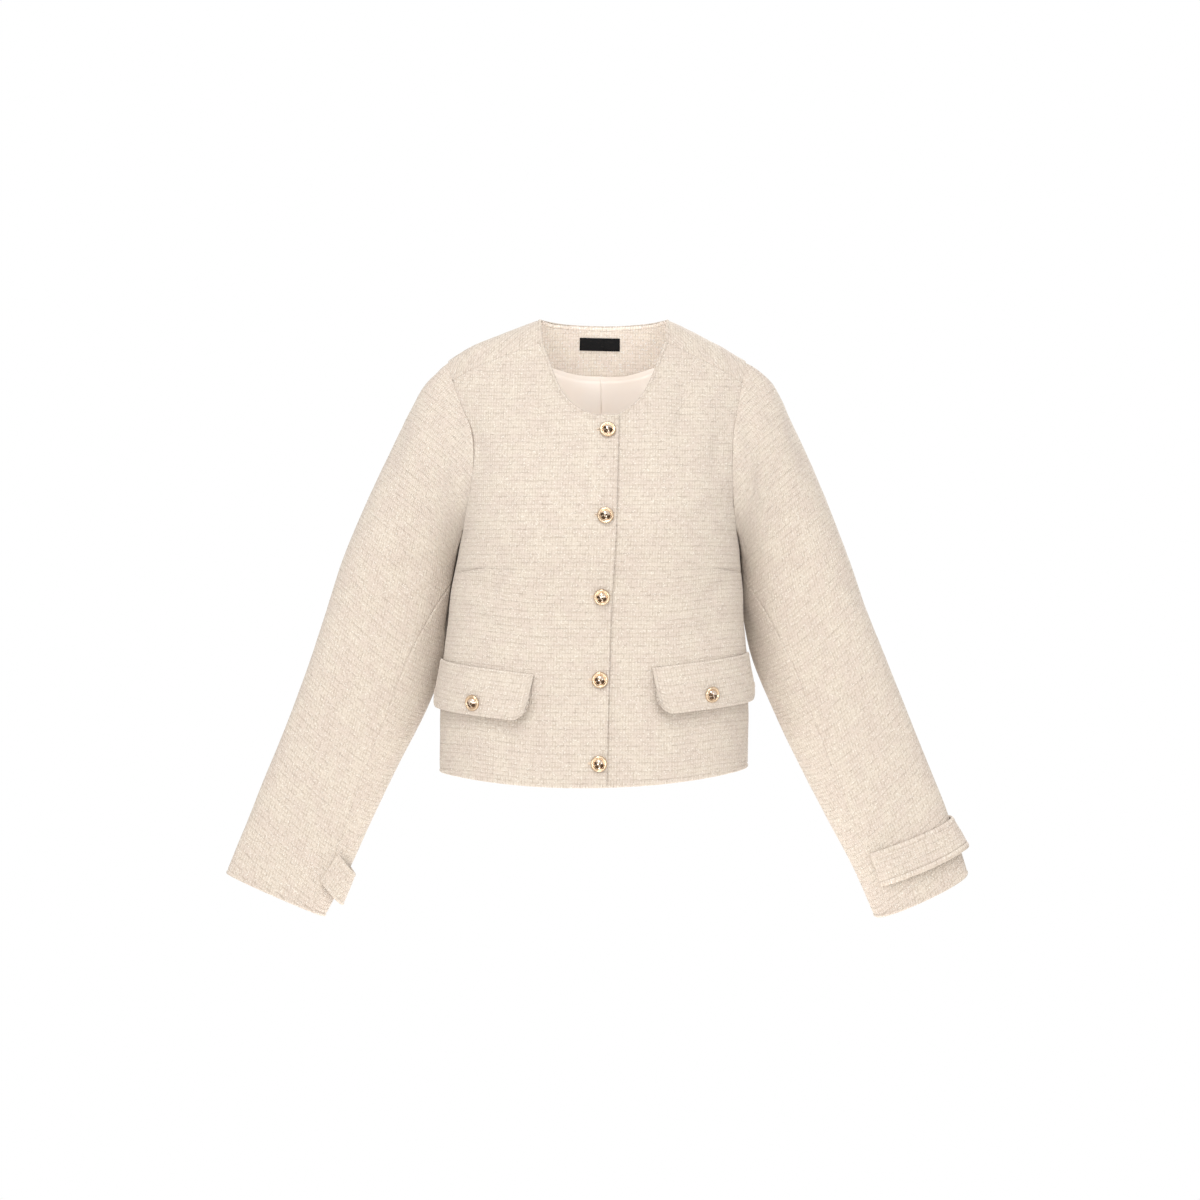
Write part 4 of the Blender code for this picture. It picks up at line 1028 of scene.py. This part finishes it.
# %% The sleeves
seam_turn = smooth((  # share along, degrees round to the front seam
    (0.5, 158), (1.0, 152), (1.14, 132), (1.3, 117), (1.5, 118), (1.7, 125), (1.88, 132), (2.0, 135),
))
SLEEVE_CREASES = {
    -1: (
        (30, 0.05, 52, 0.42, 7, 1.3), (52, 0.04, 74, 0.36, 6, 1.1), (74, 0.10, 96, 0.60, 8, 1.5),
        (20, 0.55, 44, 0.92, 12, 1.2), (112, 1.02, 74, 1.14, 8, 1.6), (108, 1.16, 62, 1.30, 9, 1.7),
        (52, 1.20, 16, 1.30, 10, 1.2), (100, 1.36, 70, 1.46, 8, 1.3), (60, 1.52, 20, 1.66, 11, 1.2),
        (96, 1.66, 64, 1.80, 9, 1.1), (30, 1.74, 6, 1.86, 9, 0.9), (-30, 0.10, -58, 0.50, 9, 1.4),
        (112, 1.935, 114, 2.0, 2.2, 1.2),
        (-66, 0.12, -92, 0.70, 9, 1.5), (-110, 1.04, -70, 1.16, 9, 1.6), (-104, 1.22, -60, 1.38, 10, 1.7),
        (-44, 1.26, -14, 1.36, 11, 1.3), (-100, 1.50, -62, 1.62, 10, 1.4), (-40, 1.66, -12, 1.80, 10, 1.1),
        (-20, 0.60, -44, 0.96, 12, 1.2), (170, 1.10, 140, 1.26, 10, 1.3), (-165, 1.16, -140, 1.34, 10, 1.3),
        (178, 1.50, 150, 1.64, 10, 1.1),
    ),
    1: (
        (26, 0.08, 46, 0.46, 8, 1.2), (58, 0.05, 80, 0.44, 7, 1.4), (80, 0.16, 100, 0.66, 8, 1.4),
        (14, 0.50, 38, 0.86, 12, 1.1), (114, 1.04, 70, 1.12, 8, 1.7), (104, 1.20, 66, 1.36, 9, 1.6),
        (46, 1.16, 12, 1.26, 10, 1.3), (98, 1.42, 62, 1.50, 9, 1.4), (54, 1.56, 18, 1.70, 11, 1.1),
        (94, 1.62, 60, 1.76, 9, 1.2), (26, 1.80, 2, 1.90, 9, 0.9), (-36, 0.12, -60, 0.46, 9, 1.3),
        (-70, 0.10, -96, 0.64, 9, 1.6), (-108, 1.06, -66, 1.20, 9, 1.7), (-102, 1.26, -58, 1.40, 10, 1.6),
        (-40, 1.20, -10, 1.32, 11, 1.2), (-98, 1.54, -60, 1.68, 10, 1.3), (-36, 1.70, -10, 1.84, 10, 1.1),
        (-16, 0.56, -40, 0.90, 12, 1.1), (168, 1.14, 142, 1.28, 10, 1.4), (-168, 1.20, -142, 1.36, 10, 1.2),
        (176, 1.54, 152, 1.66, 10, 1.1),
    ),
}

SEAM_DITCH = 0.85  # the long seams' share of a seam's full depth
SEAM_FADES = {-1: 0.0, 1: 0.6}  # how much flatter they are pressed near the cuff
HEAD_LONG, ARM_LONG = 210, 440  # above the upper arm's ring and below it
SLEEVE_WIDE = {"upper": 270, "under": 120}


def sleeve_turns(side, share, across, upper):
    """Turns of a sleeve's piece at shares along and across it."""
    _, front_turn, _, back_turn, _ = ARMHOLES[side]
    turn = np.radians(seam_turn(share)[..., 0])
    sewn = 1 - ease(0.0, 0.5, share)
    front = mix(turn, pi * (1 - front_turn * 2 / 3), sewn)
    back = mix(-turn, -pi * (1 - back_turn * 2 / 3), sewn)
    if upper:
        return np.where(across < 0.5, front * (1 - 2 * across), back * (2 * across - 1))
    return np.where(across < 0.5, mix(back + 2 * pi, pi, 2 * across), mix(pi, front, 2 * across - 1))


def make_sleeve(side, word, kind):
    share = np.concatenate((spread(HEAD_LONG, (True, False)), 1 + spread(ARM_LONG, (False, True))[1:]))
    share, across = np.meshgrid(share, spread(SLEEVE_WIDE[kind]), indexing="ij")
    turn = sleeve_turns(side, share, across, kind == "upper")
    points, normals = sleeve(side, turn, share), sleeve_normal(side, turn, share)
    place = np.stack((within(turn) * 180 / pi, share), -1)
    height = slack(place * SLEEVE_SCALE, 5 + side, 8)
    height = height - CREASES_DEEP * trough(SLEEVE_CREASES[side], place, SLEEVE_SCALE)
    height = height * ease(0.0, 0.06, share)
    at_armhole = away_from(points, points[0])
    eased_in = 0.5 * hump(at_armhole, 9.0, 6.0)  # a sleeve's head is fuller than its armhole
    height = height + eased_in * (1 - ease(60, 120, abs(place[..., 0])))
    height = height + ARMHOLE_DITCH * sewn_edge(at_armhole) + free_edge(away_from(points, points[-1]))
    seams = sewn_edge(away_from(points, points[:, 0])) + sewn_edge(away_from(points, points[:, -1]))
    height = height + (SEAM_DITCH - SEAM_FADES[side] * ease(1.55, 1.75, share)) * seams
    along, round_arm = added_up(points, 0), added_up(points, 1)
    along -= along[[int(np.argmin(abs(share[:, 0] - 1)))]]
    round_arm -= round_arm[:, [round_arm.shape[1] // 2]]
    sheet = (points + normals * height[..., None], np.stack((round_arm, -along), -1))
    name = f"sleeve_{kind}_{word}"
    piece = lay_sheets(name + "_cloth", [sheet], TWEED_FINISH, TWEED_WALL, middle_of(normals))
    sew_on(name)


for side, word in SIDES:
    for kind in SLEEVE_WIDE:
        make_sleeve(side, word, kind)

# %% [markdown]
# The pocket flaps are sewn on along their top edge and stand off a little lower down, so they throw a soft
# shadow. Their lower corners are round. Both layers of a flap are one thick sheet here, with a ridge where
# the turning lies.

# %% The pocket flaps
FLAP_LENGTH, FLAP_DEEP, FLAP_CORNER = 146.0, 53.5, 16.0
FLAP_START = {-1: 68.0, 1: 64.0}  # distance of the inner end from the middle, round the front
FLAP_SLANT = 10.0  # how much farther out the lower edge lies than the upper one
FLAP_TOP = {-1: (-406.0, -387.5), 1: (-400.0, -385.0)}  # height of the inner end and of the outer one
FLAP_WALL, CLEAR = 2.6, 0.8


def side_place(side, distance, height, step=4.0):
    """Chart place at a distance round the front from its middle, measured along the cloth."""
    levels, places = np.arange(-470.0, -370.0, step), np.linspace(0, 1, 90)
    rings = body(*np.broadcast_arrays(side * places[None], (levels - UNDERARM)[:, None]))
    found = np.stack([np.interp(distance, row, places) for row in added_up(rings, 1)])
    level = np.clip((height - levels[0]) / step, 0, len(levels) - 1.001)
    low = level.astype(int)[None]
    share = level - low[0]
    below, above = np.take_along_axis(found, low, 0)[0], np.take_along_axis(found, low + 1, 0)[0]
    return side * mix(below, above, share)


def flap_place(side, along, down):
    """Chart place on a flap."""
    inset = np.minimum(along, 1 - along) * FLAP_LENGTH
    into = 1 - np.minimum(inset / FLAP_CORNER, 1.0)
    depth = down * (FLAP_DEEP - FLAP_CORNER * (1 - np.sqrt(1 - into * into)))
    height = mix(*FLAP_TOP[side], along) - depth
    distance = FLAP_START[side] + FLAP_LENGTH * along + FLAP_SLANT * depth / FLAP_DEEP
    return np.stack((side_place(side, distance, height), height - UNDERARM), -1)


def flap_lift(along, down):
    """How far a flap's face stands off the front: most at its lower corner nearest the middle."""
    return CLEAR + FLAP_WALL + (5.0 + 2.0 * (1 - along) ** 3) * down**1.3


def make_flap(side, word):
    along, down = np.meshgrid(spread(FLAP_LENGTH, step=1.8), spread(FLAP_DEEP, step=1.8))
    points, normals = on_body(flap_place(side, along, down))
    height = sewn_edge(away_from(points, points[0]))
    for edge in (points[:, 0], points[:, -1], points[-1]):
        height = height + free_edge(away_from(points, edge))
    weave = np.stack((side * along * FLAP_LENGTH, -down * FLAP_DEEP), -1)
    height = height + flap_lift(along, down) + 0.3 * uneven(weave, 40.0, 11 + side)
    sheet = (points + normals * height[..., None], weave)
    piece = lay_sheets(f"flap_{word}_cloth", [sheet], TWEED_FINISH, FLAP_WALL - 0.3, (0, -1, 0))
    sew_on(f"flap_{word}")


for side, word in SIDES:
    make_flap(side, word)

# %% [markdown]
# A strap of the same tweed runs round each cuff, from one sleeve seam to the other, and stands off in
# between. It is sewn in at both ends, and its long edges are turned and stitched.

# %% The cuff straps
STRAP_WIDE, STRAP_WALL, STRAP_SHARE_PER_MM = 37.0, 3.0, 0.0022
STRAP_LONG = {-1: 90, 1: 200}
STRAP_SEAM = {-1: (129.5, 3.0), 1: (129.5, -1.5)}  # degrees where it leaves its seam, more at its upper edge
STRAP_END = {-1: 227, 1: -133}
STRAP_PLACE = {-1: (1.880, 1.915), 1: (1.880, 1.889)}  # share along the sleeve at its ends and its middle
STRAP_STANDS_OFF = {-1: (6.4, 9.0), 1: (0.0, 4.6)}  # at its upper edge and at its lower one
STRAP_RISE = {-1: 6.0, 1: 15.0}  # length over which a strap comes up from its seam
STRAP_HUGS = {-1: 0.7, 1: 0.25}  # share of its full height at its upper edge
STRAP_REACH = {-1: 0.976, 1: 0.992}  # share of the way to the far seam
STRAP_SEWN_IN = {-1: 0.9, 1: 0.1}  # height of its face at the seams


def make_strap(side, word):
    length = STRAP_LONG[side]
    way = 0.004 + STRAP_REACH[side] * spread(length, step=1.8)
    way, lower = np.meshgrid(way, spread(STRAP_WIDE, step=1.6))  # lower is 0 at its upper edge and 1 below
    start, slant = STRAP_SEAM[side]
    turn = mix(np.radians(start - 2 * slant * (lower - 0.5)), radians(STRAP_END[side]), way)
    share = mix(*STRAP_PLACE[side], np.sin(pi * way)) + (lower - 0.5) * STRAP_WIDE * STRAP_SHARE_PER_MM
    points, normals = sleeve(side, turn, share), sleeve_normal(side, turn, share)
    raised = ease(0.0, STRAP_RISE[side], way * length) * ease(0.0, 6.0, (1 - way) * length)
    raised = raised * mix(STRAP_HUGS[side], 1.0, lower)
    bow = mix(*STRAP_STANDS_OFF[side], lower) * np.sin(pi * way) ** 1.3
    points = points + normals * (mix(STRAP_SEWN_IN[side], CLEAR + STRAP_WALL, raised) + bow)[..., None]
    height = 0.7 * (free_edge(away_from(points, points[0])) + free_edge(away_from(points, points[-1])))
    weave = np.stack((added_up(points, 1), (0.5 - lower) * STRAP_WIDE), -1)
    points = points + normals * (height + 0.2 * uneven(weave, 30.0, 15 + side))[..., None]
    name = f"cuff_strap_{word}"
    piece = lay_sheets(name + "_cloth", [(points, weave)], TWEED_FINISH, STRAP_WALL - 0.3, middle_of(normals))
    sew_on(name)


for side, word in SIDES:
    make_strap(side, word)

# %% [markdown]
# Inside the neck a facing of the same tweed finishes the edge, with its colours painted brighter to make up
# for the shade inside the neck. Below it hangs the satin lining, with a pleat down its middle that gives the
# wearer room, and over the facing sits the bare black label, sewn down along all four sides.

# %% The facing, the lining and the label
FACING_EDGE = ((0, -61), (30, -59), (56, -52), (85, -43), (104, -34), (116, -20))
FACING_DROP, FACING_WALL = 3.6, 1.2  # how far its face lies inside the back's, and how thick it is
LINING_DROP, LINING_WALL = 4.0, 0.8
LINING_DOWN, LINING_UP = spread(250, (True, False), 4.0)[::-1], spread(190, (False, True), 3.2)
LABEL_WIDE, LABEL_HIGH, LABEL_TILT, LABEL_PLACE = 48.0, 14.5, 0.022, (-4.5, -23.5)
# A brighter copy of the tweed: painted light that makes up for the shade inside the neck.
FACING_BRIGHTENED_FINISH = tweed_finish("boucle_tweed_inside_brightened", (1.56, 1.59, 1.63))


def make_facing():
    shares = spread(120, (False, True), 2.0) * 0.985
    edges = []
    for line in (NECK_BACK, FACING_EDGE):
        right, left = (path(back_line(side, line))[0](shares) for side, _ in SIDES)
        edges.append(np.concatenate((right[:0:-1], left)))
    along = np.concatenate((shares[:0:-1], shares))
    grid = mix(*edges, mix(0.004, 1.0, spread(55, step=2.0))[::-1, None, None])
    points, normals = on_body(grid)
    from_edge, from_neck = away_from(points, points[0]), away_from(points, points[-1])
    seam = 0.55 * hump(from_neck, 3.9, 0.6) - 0.3 * hump(from_neck, 2.0, 1.2)
    fold = 0.5 * hump(from_edge, 0.0, 1.6) + 0.9 * (1 - ease(0.0, 2.4, from_neck)) + seam
    drop = FACING_DROP - fold - 1.5 * ease(0.82, 0.985, along)
    sheet = (points - normals * drop[..., None], body_weave(grid, True))
    piece = lay_sheets("neck_facing_cloth", [sheet], FACING_BRIGHTENED_FINISH, FACING_WALL, (0, 1, 0))
    sew_on("neck_facing")


def lining_grid(side):
    """Chart grid of one half of the lining, with close columns at the pleat."""
    lower, arm = path(back_line(side, FACING_EDGE))[0], ARMHOLES[side][2]
    beside = spread(110, (False, True), 3.2)
    inner = np.concatenate((path([(0.0, 2 * RISE), lower(0.0)])[0](LINING_UP), lower(beside[1:] * 0.72)))
    outer = arm(mix(0.1, 0.84, joined(LINING_UP, beside, 0.5))) + (0, 1.5)
    pleat = np.concatenate((np.arange(0, 6, 0.5), np.linspace(6, 20, 12), np.linspace(20, 160, 42)[1:])) / 160
    rows = mix(inner[:, None], outer[:, None], pleat[None, :, None])
    return np.concatenate((down_to_hem(rows[0], LINING_DOWN, HEM_BACK + 22.0, True)[:-1], rows))


def make_lining():
    sheets = []
    for side, _ in SIDES:
        grid = lining_grid(side)
        points, normals = on_body(grid)
        x = points[..., 0] - 0.8
        away = away_from(points, points[len(LINING_DOWN) + len(LINING_UP) - 2 :, 0])
        over = 1.6 * hump(x, 0.0, 30.0) * (1 - ease(-1.0, 0.2, x)) * ease(2.0, 16.0, away)
        under = 0.5 * ease(0.2, 8.0, x) * (1 - ease(8.0, 50.0, x))
        pleat = over - 0.7 * hump(x, 0.4, 0.7) - under
        band = 0.9 * ease(5.6, 8.0, away) - 0.4 * hump(away, 0.0, 1.5) - 0.9 * ease(8.0, 40.0, away)
        soft = 0.5 * uneven(points[..., [0, 2]], 60.0, 21)
        points = points - normals * (LINING_DROP + pleat + band + soft)[..., None]
        sheets.append((points[:, ::side], body_weave(grid, True)[:, ::side]))
    piece = lay_sheets("back_lining_cloth", sheets, satin.material, LINING_WALL, (0, 1, 0))
    sew_on("back_lining")


def make_label():
    along, up = np.meshgrid(np.linspace(-0.5, 0.5, 61) * LABEL_WIDE, np.linspace(-0.5, 0.5, 22) * LABEL_HIGH)
    across, height = along + LABEL_PLACE[0], up + LABEL_PLACE[1] - along * LABEL_TILT
    points, normals = on_body(chart_of(np.sign(across), abs(across), height, behind=True))
    from_edge = np.minimum(LABEL_WIDE / 2 - abs(along), LABEL_HIGH / 2 - abs(up))
    stitches = 0.25 * hump(from_edge, 1.2, 0.3**0.5)
    points = points - normals * (FACING_DROP + FACING_WALL + 0.3 - stitches)[..., None]
    sheet = (points, np.stack((along, up), -1))
    piece = lay_sheets("label_tape", [sheet], tape.material, 0.8, (0, 1, 0))
    sew_on("label")


make_facing()
make_lining()
make_label()

# %% [markdown]
# Each button is a domed gilt one: a polished crown in a groove, with a raised rim round it. Its outline is
# spun round the shank's axis, since a turned shape is exactly what a spin makes. The crown has a map of its
# own, on which dark reflections of the room are painted into its colour.

# %% The buttons
BUTTON_RADIUS, CROWN_SHARE = 9.2, 0.62
BUTTON_OUTLINE = (  # distance from the axis and height, in shares of the radius
    (0, 0.60), (0.13, 0.595), (0.26, 0.57), (0.39, 0.52), (0.50, 0.44), (0.58, 0.35), (0.62, 0.26),
    (0.65, 0.235), (0.68, 0.25), (0.73, 0.30), (0.79, 0.335), (0.86, 0.33), (0.92, 0.295), (0.96, 0.24),
    (0.99, 0.17), (1.0, 0.12), (0.96, 0.04), (0.86, 0), (0.30, 0), (0, 0),
)
FLAP_BUTTON_PLACE = {-1: (0.425, 0.74), 1: (0.42, 0.70)}  # shares along and down the flap
FLAP_BUTTON_DROOP = 0.18


def add_button(name, point, normal):
    """Spin a button, map its face, and sew it on at a point."""
    mesh, size = bmesh.new(), BUTTON_RADIUS * MM
    verts = [mesh.verts.new((away * size, 0, height * size)) for away, height in BUTTON_OUTLINE]
    for above, below in zip(verts, verts[1:]):
        mesh.edges.new((above, below))
    profile = mesh.verts[:] + mesh.edges[:]
    bmesh.ops.spin(mesh, geom=profile, axis=(0, 0, 1), angle=2 * pi, steps=64, use_merge=True)
    bmesh.ops.remove_doubles(mesh, verts=mesh.verts[:], dist=0.01 * MM)
    bmesh.ops.recalc_face_normals(mesh, faces=mesh.faces[:])
    face_map = mesh.loops.layers.uv.new("face")
    for face in mesh.faces:
        on_crown = face.calc_center_median().xy.length < CROWN_SHARE * size and face.normal.z > 0.1
        face.material_index = 1 if on_crown else 0
        for loop in face.loops:
            loop[face_map].uv = loop.vert.co.xy / size
    turn = Vector(normal).to_track_quat("Z", "Y").to_matrix().to_4x4()
    place = Matrix.Translation(Vector((point + normal * CLEAR + (0, 0, NECK_TOP)) * MM))
    bmesh.ops.transform(mesh, matrix=place @ turn, verts=mesh.verts[:])
    piece = add_piece(name + "_metal", mesh, gilt.material, crown.material)
    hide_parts(name)


for number, height in enumerate(BUTTON_HEIGHTS, start=1):
    add_button(f"button_{number}", *on_body(chart_of(1, BUTTON_PLACE, height)))
for side, word in SIDES:
    along, down = (np.array([share]) for share in FLAP_BUTTON_PLACE[side])
    points, normals = on_body(flap_place(side, along, down))
    point = points[0] + normals[0] * flap_lift(along, down)[0]
    add_button(f"flap_button_{word}", point, normals[0] + (0, 0, -FLAP_BUTTON_DROOP))
print("buttons:", len(BUTTON_HEIGHTS) + len(SIDES), "of", 2 * BUTTON_RADIUS, "mm")

# %% [markdown]
# Each front button comes through a short buttonhole, whose end shows beside it. A buttonhole is a slit with
# thread worked round its edge. Here a small grid makes both lips of thread, and its middle rows are the
# slit between them.

# %% The buttonholes
HOLE_START, HOLE_END, HOLE_WIDE = -12.8, 1.0, 3.4  # from the button's middle, in millimetres
HOLE_ROWS, HOLE_COLUMNS = 12, 46
SLIT_ROWS = (5, 6)


def make_buttonhole(number, height):
    along, up = np.meshgrid(
        np.linspace(HOLE_START, HOLE_END, HOLE_COLUMNS + 1), np.linspace(-0.5, 0.5, HOLE_ROWS + 1) * HOLE_WIDE
    )
    from_end = np.maximum(along - HOLE_START, 0.0)
    up = up * np.sqrt(np.minimum(from_end / (HOLE_WIDE / 2) + 0.06, 1.0))
    across = along + BUTTON_PLACE
    points, normals = on_body(chart_of(np.sign(across), abs(across), height + up + 0.8))
    lip = hump(abs(up), 0.95, 0.45) * ease(0.0, 1.2, from_end + 0.4)
    stitches = 0.10 * np.sin(along * 2 * pi / 0.9)
    lift = cloth_height(points[..., [0, 2]], RIGHT_CREASES) + 0.08 + lip * (0.42 + stitches)
    sheet = (points + normals * lift[..., None], np.stack((along, up), -1))
    piece = lay_sheets(f"buttonhole_{number}", [sheet], thread.material, 0.3, (0, -1, 0))
    piece.data.materials.append(slit_dark.material)
    for face in piece.data.polygons:
        in_slit = face.index // HOLE_COLUMNS in SLIT_ROWS
        if in_slit and face.center.x > (HOLE_START + BUTTON_PLACE + 1.5) * MM:
            face.material_index = 1


for number, height in enumerate(BUTTON_HEIGHTS, start=1):
    make_buttonhole(number, height)
